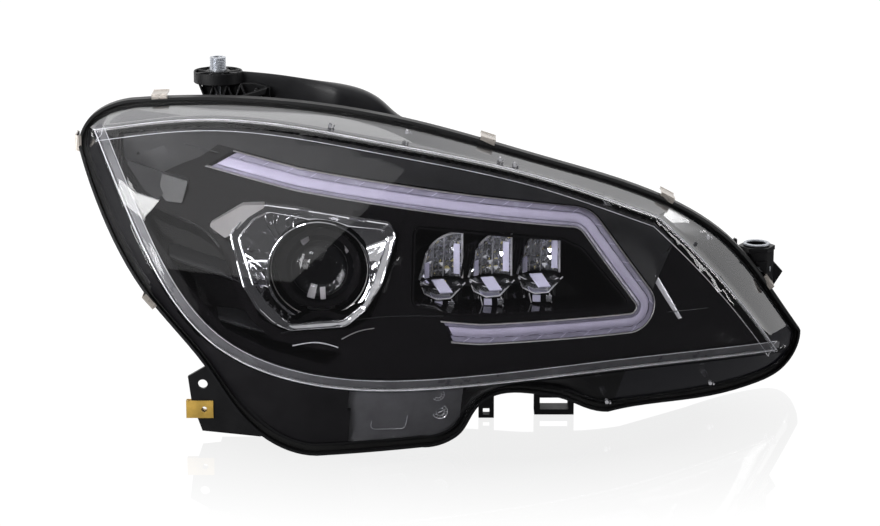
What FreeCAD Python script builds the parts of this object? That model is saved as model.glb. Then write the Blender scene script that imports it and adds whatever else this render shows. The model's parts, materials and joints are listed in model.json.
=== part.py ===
"""Left-hand car headlight: clear wrap-round lens, black housing, bi-xenon projector in an aiming
gimbal, U-shaped daytime running light, three LED modules, rear service caps and mounting brackets.

Frame, in millimetres: -Y is the way the lamp shines, +X is outboard, +Z is up. The origin is at the
bottom centre of the whole lamp. Two surfaces govern the shape: the skin, which is the lens's outer
face, and the rim, which is the joint between lens and housing. Both are exact biquadratic patches,
y = front + sweep (x - crown_x)^2 + rake (z - crown_z)^2 + a linear part.
"""

import FreeCAD, Part
import Sketcher

import math
import os
import re

from FreeCAD import Placement, Rotation, Vector

# ---------------------------------------------------------------- driving dimensions

DIMENSIONS = [
    ("front_y", -142, "foremost point of the lens skin"),
    ("crown_x", -204, "where the skin faces straight ahead"),
    ("crown_z", 75, "where the skin is upright"),
    ("sweep", 0.00083, "how fast the skin runs back outboard, per mm"),
    ("rake", 0.0022, "how fast the skin leans back upwards, per mm"),
    ("rim_depth", 13, "rim behind the skin at the crown"),
    ("rim_sweep", 0.05, "extra rim depth outboard"),
    ("rim_rake", 0.08, "extra rim depth upwards"),
    ("lens_wall", 3, "polycarbonate thickness"),
    ("lens_inset", 3.5, "lens foot inside the rim outline"),
    ("foot_front", 9, "lens foot starts this far ahead of the rim"),
    ("foot_back", 4, "lens foot ends this far ahead of the rim"),
    ("groove_inset", 2.2, "sealing groove inside the rim outline"),
    ("groove_width", 5.6, "sealing groove"),
    ("groove_floor", 2.5, "groove floor ahead of the rim"),
    ("ring_width", 10, "land round the housing's mouth"),
    ("ring_front", 12, "land starts this far ahead of the rim"),
    ("shell_wall", 3, "housing wall"),
    ("back_y", 95, "housing's flat back"),
    ("bezel_inset", 6, "trim inside the lens crease"),
    ("bezel_depth", 20, "trim behind the skin"),
    ("bezel_wall", 2.5, "trim thickness"),
    ("pocket_depth", 70, "back of the LED pocket behind the skin"),
    ("axis_x", -118, "projector's optical axis"),
    ("axis_z", 158, "projector's optical axis"),
    ("gimbal_y", -25.5, "plane of both aiming axes"),
    ("glass_r", 32, "projector glass over its lip"),
    ("dome_r", 29.5, "projector glass, bulged part"),
    ("dome_rise", 20, "height of the bulge"),
    ("glass_back_y", -71, "flat back of the glass"),
    ("lip", 3, "lip of the glass"),
    ("holder_wall", 2.5, "projector castings"),
    ("bowl_mouth_r", 35, "reflector bowl at its mouth"),
    ("flange_r", 42, "flanges of holder and bowl"),
    ("frame_half_x", 68, "gimbal frame, half width"),
    ("frame_half_z", 56, "gimbal frame, half height"),
    ("open_half_x", 58, "gimbal frame's opening, half width"),
    ("open_half_z", 48, "gimbal frame's opening, half height"),
    ("frame_thick", 9, "gimbal frame"),
    ("pivot_r", 3, "pivot pins"),
    ("pivot_gap", 0.06, "running clearance of pins, on the radius"),
    ("arm_drop", 84, "levelling ball below the pitch axis"),
    ("ball_r", 5, "levelling ball"),
    ("rod_r", 2.5, "levelling rod"),
    ("motor_r", 21, "levelling motor"),
    ("cap_bore_r", 50, "main service opening"),
    ("cap_boss_r", 56, "main service opening, outside"),
    ("cap_boss_y", 112, "main service opening, mouth"),
    ("port_x", 24, "small service opening"),
    ("port_z", 140, "small service opening"),
    ("port_bore_r", 31, "small service opening"),
    ("port_boss_r", 36, "small service opening, outside"),
    ("port_boss_y", 108, "small service opening, mouth"),
    ("bar_half", 8.5, "half width of the light bar"),
    ("guide_half", 2.5, "half width of the light guide"),
    ("sleeve_x", -213, "upper mount"),
    ("sleeve_y", 50, "upper mount"),
    ("sleeve_top", 323, "top of the adjuster sleeve"),
    ("sleeve_r", 7.5, "adjuster sleeve, over the thread"),
    ("sleeve_bore_r", 4.2, "adjuster sleeve, M8 clearance"),
    ("disc_r", 22, "upper mount disc"),
    ("disc_top", 311, "upper mount disc"),
    ("disc_thick", 11, "upper mount disc"),
    ("bush_x", 285, "outer mount"),
    ("bush_y", 122, "outer mount"),
    ("bush_r", 12.5, "outer mount bush"),
    ("bush_bore_r", 10, "outer mount bush"),
    ("bush_low", 107, "outer mount bush, bottom"),
    ("bush_tall", 26, "outer mount bush"),
    ("bracket_y", -62, "lower bracket plate, front face"),
    ("bracket_thick", 4, "lower bracket plate"),
    ("bracket_hole_r", 4.3, "lower bracket hole"),
    ("ballast_wide", 90, "xenon control unit, along X"),
    ("ballast_deep", 78, "xenon control unit, along Y"),
    ("ballast_tall", 27, "xenon control unit"),
    ("module_half", 18.5, "LED reflector, half width"),
    ("module_tall", 39, "LED reflector, height over its board"),
    ("module_deep", 26, "LED reflector, front to back"),
    ("mirror_wall", 1.5, "LED reflector wall"),
]

doc = FreeCAD.newDocument("headlight")
sheet = doc.addObject("Spreadsheet::Sheet", "dims")
for row, (alias, value, note) in enumerate(DIMENSIONS, start=1):
    sheet.set(f"A{row}", alias)
    sheet.set(f"B{row}", str(value))
    sheet.set(f"C{row}", note)
    sheet.setAlias(f"B{row}", alias)
doc.recompute()


def size(alias):
    """A driving dimension's value."""
    return float(sheet.get(alias))


def formula(text):
    """An expression on the sheet: every plain word in text is one of its aliases."""
    return re.sub(r"\b([a-z][a-z_]*)\b", r"dims.\1", text)


def worked_out(text):
    """The number that such an expression stands for: terms added up, each a product or quotient."""
    total = 0.0
    for sign, term in re.findall(r"([+-]?)\s*([^+-]+)", text):
        value = 1.0
        for operator, factor in re.findall(r"([*/]?)\s*([\w.]+)", term):
            number = float(factor) if factor[0].isdigit() else size(factor)
            value = value / number if operator == "/" else value * number
        total += -value if sign == "-" else value
    return total


kept = {}


def keep(name, thing):
    """Makes thing the sub-part of that name."""
    thing.Label = name
    kept[name] = thing
    return thing


def freeform(name, shape):
    """A sub-part whose shape comes from Part's own functions."""
    feature = doc.addObject("Part::Feature", name)
    feature.Shape = shape
    return keep(name, feature)


# ---------------------------------------------------------------- outlines, seen from the front

BACK = Vector(0, 1, 0)
AHEAD_Y, BEHIND_Y = -220.0, 260.0  # every prism runs from ahead of the lamp to behind it


def spline(points):
    """A smooth edge through points (x, z)."""
    curve = Part.BSplineCurve()
    curve.interpolate([Vector(x, 0, z) for x, z in points])
    return curve.toShape()


def straight(start, end):
    return Part.LineSegment(Vector(start[0], 0, start[1]), Vector(end[0], 0, end[1])).toShape()


def rounded(corners, radii):
    """A closed outline of straight runs with a tangent arc at each corner. radii is one radius or a list."""
    count = len(corners)
    radii = radii if isinstance(radii, list) else [radii] * count
    points = [Vector(x, 0, z) for x, z in corners]
    joints = []
    for i, radius in enumerate(radii):
        before, here, after = points[i - 1], points[i], points[(i + 1) % count]
        inward, outward = (before - here).normalize(), (after - here).normalize()
        half = inward.getAngle(outward) / 2
        reach = radius / math.tan(half)
        middle = here + (inward + outward).normalize() * (radius / math.sin(half) - radius)
        joints.append((here + inward * reach, middle, here + outward * reach))
    edges = []
    for i, (start, middle, end) in enumerate(joints):
        edges.append(Part.Arc(start, middle, end).toShape())
        edges.append(Part.LineSegment(end, joints[(i + 1) % count][0]).toShape())
    return Part.Wire(edges)


def circle(x, z, radius, y=0.0):
    return Part.Wire([Part.makeCircle(radius, Vector(x, y, z), BACK)])


POINT_EVERY = 9.0  # spacing of the points that an offset curve is redrawn through


def redrawn(edge):
    """An offset curve as a plain spline, which a STEP file can hold. Any other edge is left as it is."""
    if edge.Curve.TypeId != "Part::GeomOffsetCurve":
        return edge
    points = edge.discretize(Number=max(6, round(edge.Length / POINT_EVERY)))
    points[0], points[-1] = edge.firstVertex().Point, edge.lastVertex().Point
    curve = Part.BSplineCurve()
    curve.interpolate(points)
    return curve.toShape()


def inset(outline, distance):
    """The outline moved inwards by distance, or outwards if it is negative."""
    return Part.Wire([redrawn(edge) for edge in outline.makeOffset2D(-distance).OrderedEdges])


CREASE_TOP = [(-317, 275), (-219, 285), (-65, 265), (77, 229), (184, 185)]
CREASE_SIDE_MIDDLE = (246, 119)
CREASE_LOW = [(303, 40), (150, 54), (0, 57), (-122, 68), (-207, 105), (-288, 221), (-317, 275)]


def crease_outline():
    """Where the lens's front face turns into its side walls."""
    a, b, c = (Vector(x, 0, z) for x, z in (CREASE_TOP[-1], CREASE_SIDE_MIDDLE, CREASE_LOW[0]))
    return Part.Wire([spline(CREASE_TOP), Part.Arc(a, b, c).toShape(), spline(CREASE_LOW)])


def rim_outline():
    """The lamp's outline, at the joint of lens and housing."""
    shoulder = [(-329, 258), (-325, 276), (-308, 289), (-281, 295)]
    brow = [(-281, 295), (-232, 297), (-38, 273.5), (79, 237), (188, 194), (258, 145), (298, 94), (330, 46)]
    tail = [(330, 46), (327, 30), (312, 12), (283, 4), (236, 3), (139, 9)]
    notch = [
        (139, 9), (118, 17), (98, 29), (71, 38.5), (48, 43), (32, 41),
        (21, 34), (14, 24), (6, 11), (-4, 4), (-29, 0.5),
    ]
    cheek = [
        (-120, 0.5), (-142, 6), (-155, 13), (-190, 48), (-213, 84), (-266, 146), (-309, 214), (-329, 258),
    ]
    return Part.Wire([
        spline(shoulder), spline(brow), spline(tail), spline(notch),
        straight(notch[-1], cheek[0]), spline(cheek),
    ])


def back_outline(inward=0.0):
    """The housing's flat back, or that outline drawn in by about inward."""
    top = [(-288, 236), (-280, 258), (-258, 266), (-40, 243), (110, 205), (180, 160), (194, 128)]
    low = [(194, 128), (185, 98), (150, 64), (60, 43), (-60, 38), (-150, 38)]
    cheek = [(-150, 38), (-172, 48), (-205, 80), (-276, 196), (-288, 236)]
    middle_x, middle_z, half_x, half_z = -47, 152, 241, 114

    def drawn_in(points):
        return [
            (x - inward * (x - middle_x) / half_x, z - inward * (z - middle_z) / half_z) for x, z in points
        ]

    return Part.Wire([spline(drawn_in(top)), spline(drawn_in(low)), spline(drawn_in(cheek))])


def projector_window():
    """Outer edge of the chrome frame round the projector, with its pointed inboard corner."""
    corners = [
        (-212, 199), (-178, 215), (-158, 214), (-58, 197), (-49, 188), (-51, 172),
        (-74, 120), (-90, 113), (-146, 112), (-168, 124), (-192, 184),
    ]
    return rounded(corners, [3, 8, 8, 5, 4, 10, 8, 8, 10, 10, 4])


def led_window():
    """Opening of the recessed LED pocket, inside the U of the light bar."""
    corners = [(-36, 194), (96, 173), (114, 163), (160, 106), (0, 117), (-38, 128)]
    return rounded(corners, [6, 8, 10, 5, 6, 8])


LIGHT_BAR = [(-205, 251), (-135, 233.5), (5, 207.5), (116, 188), (186, 90), (22, 99), (-8, 104)]
LIGHT_BAR_RADII = [0, 80, 80, 24, 14, 80, 0]
BAR_TIP_LEAN, BAR_END_LEAN = 10.0, -6.0


def ribbon(half_width, shorter=0.0):
    """A closed band of constant width along the light bar's path, with slanting ends."""
    points = [Vector(x, 0, z) for x, z in LIGHT_BAR]
    runs = [(b - a).normalize() for a, b in zip(points, points[1:])]
    normals = [Vector(-run.z, 0, run.x) for run in runs]
    left, right, left_radii, right_radii = [], [], [], []
    for i, point in enumerate(points):
        if i == 0:
            normal, lean = normals[0], runs[0] * BAR_TIP_LEAN / size("bar_half") * half_width
            along = runs[0] * shorter
        elif i == len(points) - 1:
            normal, lean = normals[-1], runs[-1] * BAR_END_LEAN / size("bar_half") * half_width
            along = runs[-1] * -shorter
        else:
            bisector = (normals[i - 1] + normals[i]).normalize()
            normal, lean = bisector / bisector.dot(normals[i]), Vector(0, 0, 0)
            along = Vector(0, 0, 0)
        turn = 0.0 if i in (0, len(points) - 1) else runs[i - 1].cross(runs[i]).y
        radius = LIGHT_BAR_RADII[i]
        left.append(point + along + normal * half_width + lean)
        right.append(point + along - normal * half_width - lean)
        grow = half_width if turn > 0 else -half_width
        left_radii.append(radius + grow if radius else 1.0)
        right_radii.append(radius - grow if radius else 1.0)
    corners = [(p.x, p.z) for p in left + right[::-1]]
    return rounded(corners, left_radii + right_radii[::-1])


# ---------------------------------------------------------------- skins, slabs and prisms

PATCH_X = (-350.0, 360.0)
PATCH_Z = (-20.0, 345.0)


def patch(depth, x_slope=0.0, z_slope=0.0):
    """The skin moved back by depth and sheared, as one Bezier face over the whole lamp."""
    def ordinates(rate, crown, low, high):
        return [rate * (low - crown) ** 2, rate * (low - crown) * (high - crown), rate * (high - crown) ** 2]

    crown_x, crown_z = size("crown_x"), size("crown_z")
    along_x = ordinates(size("sweep"), crown_x, *PATCH_X)
    along_z = ordinates(size("rake"), crown_z, *PATCH_Z)
    xs = (PATCH_X[0], sum(PATCH_X) / 2, PATCH_X[1])
    zs = (PATCH_Z[0], sum(PATCH_Z) / 2, PATCH_Z[1])
    surface = Part.BezierSurface()
    surface.increase(2, 2)
    for i, x in enumerate(xs):
        for j, z in enumerate(zs):
            y = size("front_y") + depth + along_x[i] + along_z[j] + x_slope * (x - crown_x) + z_slope * z
            surface.setPole(i + 1, j + 1, Vector(x, y, z))
    return surface.toShape()


def skin(depth):
    return patch(depth)


def rim(ahead):
    """The rim surface, moved forward by ahead."""
    return patch(size("rim_depth") - ahead, size("rim_sweep"), size("rim_rake"))


def slab(face, thickness):
    return face.extrude(Vector(0, thickness, 0))


def prism(outline, start=AHEAD_Y, end=BEHIND_Y):
    """An outline swept along Y."""
    face = Part.Face(outline)
    face.translate(Vector(0, start - outline.BoundBox.YMin, 0))
    return face.extrude(Vector(0, end - start, 0))


def sheet_on_skin(outline, near, far):
    """A sheet that follows the skin, from near to far behind it, within the outline."""
    return prism(outline).common(slab(skin(near), far - near))


def fence_on_skin(outline, wall, near, far):
    """A wall that stands inside the outline, square to the front, from near to far behind the skin."""
    return prism(outline).cut(prism(inset(outline, wall))).common(slab(skin(near), far - near))


def trimmed(face, outline):
    """The part of a surface that lies inside the outline."""
    return face.common(prism(outline)).Faces[0]


def flat(outline, y):
    """The outline filled in, at that depth."""
    face = Part.Face(outline)
    face.translate(Vector(0, y - outline.BoundBox.YMin, 0))
    return face


def between(front, back):
    """The solid whose sides run straight from one face's edge to the other's."""
    sides = Part.makeLoft([front.OuterWire, back.OuterWire], False, True)
    shell = Part.makeShell([front, back] + sides.Faces)
    shell.sewShape()
    solid = Part.Solid(Part.Shell(shell.Faces))
    if solid.Volume < 0:
        solid.reverse()
    return solid


# ---------------------------------------------------------------- small mechanical pieces

def at(x, y, z, turn=None):
    return Placement(Vector(x, y, z), turn or Rotation())


LOCAL_Z_TO_BACK = Rotation(Vector(1, 0, 0), -90)


def origin_plane(body, role):
    return next(f for f in body.Origin.OriginFeatures if f.Role == role)


def drawn(body, role, corners, name):
    """A closed sketch of straight lines on one of the body's planes, each corner held by the sheet."""
    sketch = body.newObject("Sketcher::SketchObject", name)
    sketch.AttachmentSupport = (origin_plane(body, role), "")
    sketch.MapMode = "FlatFace"
    values = [(worked_out(u), worked_out(v)) for u, v in corners]
    count = len(values)
    for i, (u, v) in enumerate(values):
        u_next, v_next = values[(i + 1) % count]
        sketch.addGeometry(Part.LineSegment(Vector(u, v, 0), Vector(u_next, v_next, 0)), False)
    for i in range(count):
        sketch.addConstraint(Sketcher.Constraint("Coincident", i, 2, (i + 1) % count, 1))
    for i, texts in enumerate(corners):
        for kind, axis, text, value in zip(("DistanceX", "DistanceY"), (-2, -1), texts, values[i]):
            if abs(value) < 1e-9:
                sketch.addConstraint(Sketcher.Constraint("PointOnObject", i, 1, axis))
            else:
                index = sketch.addConstraint(Sketcher.Constraint(kind, -1, 1, i, 1, value))
                sketch.setExpression(f"Constraints[{index}]", formula(text))
    return sketch


def new_body(name, placement):
    body = doc.addObject("PartDesign::Body", name)
    body.Placement = placement
    return body


def turned(name, profile, placement):
    """A body turned about its own Z axis. profile is a list of (radius, height) expressions."""
    body = new_body(name, placement)
    sketch = drawn(body, "XZ_Plane", profile, name + "_profile")
    feature = body.newObject("PartDesign::Revolution", name + "_turn")
    feature.Profile = sketch
    feature.ReferenceAxis = (sketch, ["V_Axis"])
    feature.Angle = 360
    doc.recompute()
    return keep(name, body)


def padded(name, corners, length, placement):
    """A body padded up its own Z axis from a straight-sided sketch."""
    body = new_body(name, placement)
    sketch = drawn(body, "XY_Plane", corners, name + "_outline")
    feature = body.newObject("PartDesign::Pad", name + "_pad")
    feature.Profile = sketch
    feature.setExpression("Length", formula(length))
    doc.recompute()
    return keep(name, body)


def pocket_through(body, sketch, name):
    """Cuts the sketch right through the body, both ways, and checks that it took something away."""
    before = body.Shape.Volume
    cut = body.newObject("PartDesign::Pocket", name)
    cut.Profile = sketch
    cut.Type = "ThroughAll"
    cut.Midplane = True
    doc.recompute()
    if body.Shape.Volume > before - 1e-6:
        raise RuntimeError(f"{name} cuts nothing")
    return cut


def rod(start, end, radius):
    """A plain cylinder between two points."""
    axis = Vector(*end) - Vector(*start)
    return Part.makeCylinder(radius, axis.Length, Vector(*start), axis)


def block(low, high):
    """A box between two opposite corners."""
    return Part.makeBox(*(h - l for l, h in zip(low, high)), Vector(*low))


def joined(*shapes):
    """One solid from touching or crossing shapes."""
    whole = shapes[0]
    for shape in shapes[1:]:
        whole = whole.fuse(shape)
    return whole.removeSplitter()


def largest(shape):
    return max(shape.Solids, key=lambda solid: solid.Volume)


# ---------------------------------------------------------------- lens, housing and what joins them

CREASE, RIM = crease_outline(), rim_outline()
AXIS_X, AXIS_Z = size("axis_x"), size("axis_z")
BACK_Y = size("back_y")


OUTSIDE = between(trimmed(rim(0), inset(RIM, 1)), flat(back_outline(), BACK_Y))
HOLLOW = between(
    trimmed(rim(size("shell_wall")), inset(RIM, size("ring_width"))),
    flat(back_outline(1.5 * size("shell_wall")), BACK_Y - size("shell_wall")),
)
GROOVE_START = size("groove_inset")
GROOVE_END = size("groove_inset") + size("groove_width")
AXIS = (AXIS_X, AXIS_Z)
MOTOR = (AXIS_X, AXIS_Z - size("arm_drop"))
VERTICAL_SCREW = (AXIS_X - 36, AXIS_Z - size("arm_drop"))  # runs along Y through the back
HORIZONTAL_SCREW = (-62.0, 68.0)  # (x, y): runs along Z through the top
PORT = (size("port_x"), size("port_z"))
PLUG = (122.0, 108.0)
VENTS = [(-232.0, 205.0), (118.0, 158.0)]
BALLAST = (-100.0, 44.0)  # inboard front corner (x, y)
SCREW_BORE_R = 4.4
BAYONET_LUGS = 3
BAYONET_TURN = 35.0  # degrees from pushed in to locked
LUG_REACH, LUG_WIDE = 3.0, 14.0


def outer_lens():
    """A clear shell: front face, side walls that run out to the rim, and a foot for the groove."""
    wall, foot = size("lens_wall"), size("lens_inset")
    front, back = size("foot_front"), size("foot_back")
    outside = between(trimmed(skin(0), CREASE), trimmed(rim(front), inset(RIM, foot)))
    inside = between(
        trimmed(skin(wall), inset(CREASE, wall)), trimmed(rim(front - 2), inset(RIM, foot + wall))
    )
    ring = prism(inset(RIM, foot)).cut(prism(inset(RIM, foot + wall)))
    foot_ring = ring.common(slab(rim(front + 1), front + 1 - back))
    return outside.cut(inside).fuse(foot_ring).Solids[0]


def service_opening(centre, bore_r, boss_r, mouth_y):
    """A boss on the flat back and the bore through it, narrow at the mouth, with notches for lugs."""
    x, z = centre
    wide_r = bore_r + LUG_REACH + 0.4
    boss = rod((x, BACK_Y - 2, z), (x, mouth_y, z), boss_r)
    bore = rod((x, BACK_Y - 15, z), (x, mouth_y + 5, z), bore_r)
    wide = rod((x, BACK_Y - 15, z), (x, mouth_y - 5, z), wide_r)
    tools = [bore, wide]
    for i in range(BAYONET_LUGS):
        notch = block((x - LUG_WIDE / 2 - 1, BACK_Y - 15, z), (x + LUG_WIDE / 2 + 1, mouth_y + 1, z + wide_r))
        notch.rotate(Vector(x, 0, z), BACK, 360.0 * i / BAYONET_LUGS)
        tools.append(notch)
    return boss, tools


def ballast_screw_places():
    """(x, y) of the four screws that hold the control unit."""
    x, y = BALLAST
    return [(x + dx, y + dy) for dx in (8, size("ballast_wide") - 8) for dy in (8, 40)]


def housing():
    """A shell behind the rim, a grooved land at its mouth, service bosses, and posts underneath."""
    land = prism(RIM).cut(prism(inset(RIM, size("ring_width"))))
    land = land.common(slab(rim(size("ring_front") - 1), size("ring_front") - 0.5))
    above = size("ring_front") + 2
    groove = prism(inset(RIM, GROOVE_START)).cut(prism(inset(RIM, GROOVE_END)))
    groove = groove.common(slab(rim(above), above - size("groove_floor")))
    inner_lip = prism(inset(RIM, GROOVE_START + 3)).cut(prism(inset(RIM, size("ring_width") + 2)))
    inner_lip = inner_lip.common(slab(rim(above), 8))
    cap_boss, cap_tools = service_opening(AXIS, size("cap_bore_r"), size("cap_boss_r"), size("cap_boss_y"))
    port_boss, port_tools = service_opening(
        PORT, size("port_bore_r"), size("port_boss_r"), size("port_boss_y")
    )
    post_foot = size("ballast_tall")
    posts = [rod((x, y, post_foot), (x, y, 60), 5.5).cut(HOLLOW) for x, y in ballast_screw_places()]
    through_back = [(MOTOR, size("motor_r") + 0.8), (VERTICAL_SCREW, SCREW_BORE_R)]
    through_back += [(place, 3.2) for place in VENTS]
    tools = cap_tools + port_tools
    tools += [rod((x, BACK_Y - 8, z), (x, BACK_Y + 8, z), radius) for (x, z), radius in through_back]
    x, y = HORIZONTAL_SCREW
    tools.append(rod((x, y, 225), (x, y, 290), SCREW_BORE_R))
    x, z = PLUG
    tools.append(block((x - 15.2, BACK_Y - 8, z - 9.2), (x + 15.2, BACK_Y + 8, z + 9.2)))
    tools += [rod((x, y, 20), (x, y, 42), 1.7) for x, y in ballast_screw_places()]
    shell = OUTSIDE.cut(HOLLOW).fuse(land.cut(groove).cut(inner_lip))
    return shell.fuse([cap_boss, port_boss] + [post.Solids[0] for post in posts]).cut(tools).Solids[0]


def lens_seal():
    bead = prism(inset(RIM, GROOVE_START + 0.2)).cut(prism(inset(RIM, GROOVE_END - 0.2)))
    return bead.common(slab(rim(size("foot_back") - 0.05), size("foot_back") - size("groove_floor") - 0.1))


CLIP_PLACES = [(-261, 297), (-327, 262), (30, 255), (195, 190), (-262, 142), (292, 100)]
CLIP_WIDE, CLIP_STEEL = 13.0, 1.2


def lens_clips():
    """Spring-steel clips that hook over the housing's outer lip and grip behind the rim."""
    outside = prism(inset(RIM, -CLIP_STEEL - 0.15))
    leg = outside.cut(prism(inset(RIM, -0.15))).common(slab(rim(12.4), 19))
    web = outside.cut(prism(inset(RIM, 2))).common(slab(rim(12.4), CLIP_STEEL))
    clips = []
    for x, z in CLIP_PLACES:
        _, pairs, info = RIM.distToShape(Part.Vertex(x, 0, z))
        point = pairs[0][0]
        edge = RIM.Edges[info[0][1]] if info[0][0] == "Edge" else None
        along = edge.tangentAt(info[0][2]) if edge else Vector(1, 0, 0)
        angle = math.degrees(math.atan2(-along.z, along.x))
        window = block((-CLIP_WIDE / 2, -300, -8), (CLIP_WIDE / 2, 300, 8))
        window.rotate(Vector(), BACK, angle)
        window.translate(Vector(point.x, 0, point.z))
        clips.append(joined(*[piece.common(window) for piece in (leg, web)]))
    return Part.Compound([solid for clip in clips for solid in clip.Solids])


freeform("outer_lens", outer_lens())
freeform("housing", housing())
freeform("lens_seal", lens_seal().Solids[0])
freeform("lens_clips", lens_clips())


# ---------------------------------------------------------------- trim behind the lens

BEZEL_TOP, BEZEL_WALL = size("bezel_depth"), size("bezel_wall")
BEZEL_BACK = BEZEL_TOP + BEZEL_WALL
BAR_HALF = size("bar_half")


def inner_bezel():
    """Black trim with three windows, a skirt behind its edge and tabs that rest on the land."""
    outline = inset(CREASE, size("bezel_inset"))
    face = sheet_on_skin(outline, BEZEL_TOP, BEZEL_BACK)
    windows = [prism(projector_window()), prism(led_window()), prism(ribbon(BAR_HALF + 0.4, -0.4))]
    skirt = fence_on_skin(outline, BEZEL_WALL, BEZEL_TOP, BEZEL_TOP + 28)
    return face.cut(windows).fuse(skirt).Solids[0]


def led_pocket():
    """A deep tray behind the LED window."""
    outline = inset(led_window(), 0.5)
    back = size("pocket_depth")
    return joined(
        sheet_on_skin(outline, back - 2, back), fence_on_skin(outline, 1.5, BEZEL_TOP, back)
    )


def projector_trim():
    """A chrome frame: a wall round the window and a plate with a round hole for the shroud."""
    outline = inset(projector_window(), 0.6)
    plate = sheet_on_skin(outline, 26, 28.5).cut(prism(circle(*AXIS, 46.5)))
    return plate.fuse(fence_on_skin(outline, 2, BEZEL_TOP - 3, 28.5)).Solids[0]


def drl_light_bar():
    """A clear channel: a face in front and walls that reach back into the tray."""
    face = sheet_on_skin(ribbon(BAR_HALF), 13, 15.5)
    walls = prism(ribbon(BAR_HALF)).cut(prism(ribbon(BAR_HALF - 1.5, 1.5)))
    return face.fuse(walls.common(slab(skin(13), 12))).Solids[0]


def drl_tray():
    half, wall = BAR_HALF + 1.4, 1.2
    outline = ribbon(half, -wall - 0.2)
    floor = sheet_on_skin(outline, 26, 28)
    walls = prism(outline).cut(prism(ribbon(half - wall, -0.2)))
    return floor.fuse(walls.common(slab(skin(BEZEL_BACK + 0.3), 28 - BEZEL_BACK - 0.3))).Solids[0]


def drl_led_boards():
    """A small circuit board at each end of the light guide."""
    ends = [LIGHT_BAR[0], LIGHT_BAR[-1]]
    strip = sheet_on_skin(ribbon(BAR_HALF - 2, 3), 24, 25.4)
    return Part.Compound([strip.common(prism(circle(*end, 20))).Solids[0] for end in ends])


def chrome_blade():
    outer = [(138, 196), (172, 172), (196, 138), (202, 107)]
    inner = [(194, 107), (189, 136), (166, 168), (138, 196)]
    outline = Part.Wire([spline(outer), straight(outer[-1], inner[0]), spline(inner)])
    return sheet_on_skin(outline, 12, BEZEL_TOP)


freeform("inner_bezel", inner_bezel())
freeform("projector_trim", projector_trim())
freeform("drl_light_bar", drl_light_bar())
freeform("drl_light_guide", sheet_on_skin(ribbon(size("guide_half"), 7), 18, 23).Solids[0])
freeform("drl_tray", drl_tray())
freeform("drl_led_boards", drl_led_boards())
freeform("chrome_blade", chrome_blade().Solids[0])


# ---------------------------------------------------------------- LED modules

MODULES = [(-12.0, 139.0), (31.5, 137.5), (75.0, 136.0)]  # centre x and board height z of each
MODULE_MOUTH = 42.0  # behind the skin


def skin_y(x, z):
    """Depth of the skin at that place."""
    sideways = size("sweep") * (x - size("crown_x")) ** 2
    upwards = size("rake") * (z - size("crown_z")) ** 2
    return size("front_y") + sideways + upwards


def ellipsoid(centre, half_axes):
    ball = Part.makeSphere(1.0)
    matrix = FreeCAD.Matrix()
    matrix.scale(*half_axes)
    ball = ball.transformGeometry(matrix)
    ball.translate(Vector(*centre))
    return ball


def led_reflector(x, z):
    """A half-dome mirror that stands on its board and opens to the front."""
    half, tall, deep, wall = (size(a) for a in ("module_half", "module_tall", "module_deep", "mirror_wall"))
    mouth_y = skin_y(x, z) + MODULE_MOUTH
    centre = (x, mouth_y, z + 0.1)
    dome = ellipsoid(centre, (half, deep, tall)).cut(
        ellipsoid(centre, (half - wall, deep - wall, tall - wall))
    )
    return dome.common(block((x - 50, mouth_y, z + 0.1), (x + 50, mouth_y + 60, z + 90))).Solids[0]


def led_shelf():
    """One board under each reflector, with its legs, on a spine that ties them to the pocket's back."""
    half, deep = size("module_half"), size("module_deep")
    pieces = []
    for x, z in MODULES:
        mouth_y = skin_y(x, z) + MODULE_MOUTH
        pieces.append(block((x - half, mouth_y - 2, z - 2.5), (x + half, mouth_y + deep, z)))
        for side in (-1, 1):
            leg_x = x + side * (half - 5)
            pieces.append(block((leg_x - 1.2, mouth_y, z - 15), (leg_x + 1.2, mouth_y + 12, z - 2)))
    for (x_a, z_a), (x_b, z_b) in zip(MODULES, MODULES[1:]):
        y_a = skin_y(x_a, z_a) + MODULE_MOUTH + deep - 14
        y_b = skin_y(x_b, z_b) + MODULE_MOUTH + deep - 2
        pieces.append(block((x_a + half - 1, y_a, z_b - 2.5), (x_b - half + 1, y_b, z_b - 0.3)))
    return joined(*pieces)


def led_emitters():
    """The chip on each board, under its dome."""
    pieces = []
    for x, z in MODULES:
        y = skin_y(x, z) + MODULE_MOUTH + 9
        base = block((x - 4, y - 4, z + 0.05), (x + 4, y + 4, z + 1))
        pieces.append(joined(base, block((x - 1.5, y - 1.5, z + 1), (x + 1.5, y + 1.5, z + 1.8))))
    return Part.Compound(pieces)


def led_heatsink():
    """A finned block behind the pocket."""
    x_low, x_high, z_low, z_high = -20.0, 92.0, 126.0, 168.0
    front = skin_y(x_high, z_high) + size("pocket_depth") + 1
    pieces = [block((x_low, front, z_low), (x_high, front + 4, z_high))]
    fins = 12
    for i in range(fins):
        x = x_low + (x_high - x_low - 2) * i / (fins - 1)
        pieces.append(block((x, front + 4, z_low), (x + 2, front + 18, z_high)))
    return joined(*pieces)


mirrors, shelf = [led_reflector(*place) for place in MODULES], led_shelf()
freeform("led_pocket", largest(led_pocket().cut([shelf, *mirrors])))
for number, mirror in enumerate(mirrors, start=1):
    freeform(f"led_reflector_{number}", mirror)
freeform("led_shelf", shelf)
freeform("led_emitters", led_emitters())
freeform("led_heatsink", led_heatsink())


# ---------------------------------------------------------------- projector

ON_AXIS = at(AXIS_X, 0, AXIS_Z, LOCAL_Z_TO_BACK)
GIMBAL_Y = size("gimbal_y")
GLASS_Y = size("glass_back_y")

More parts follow.
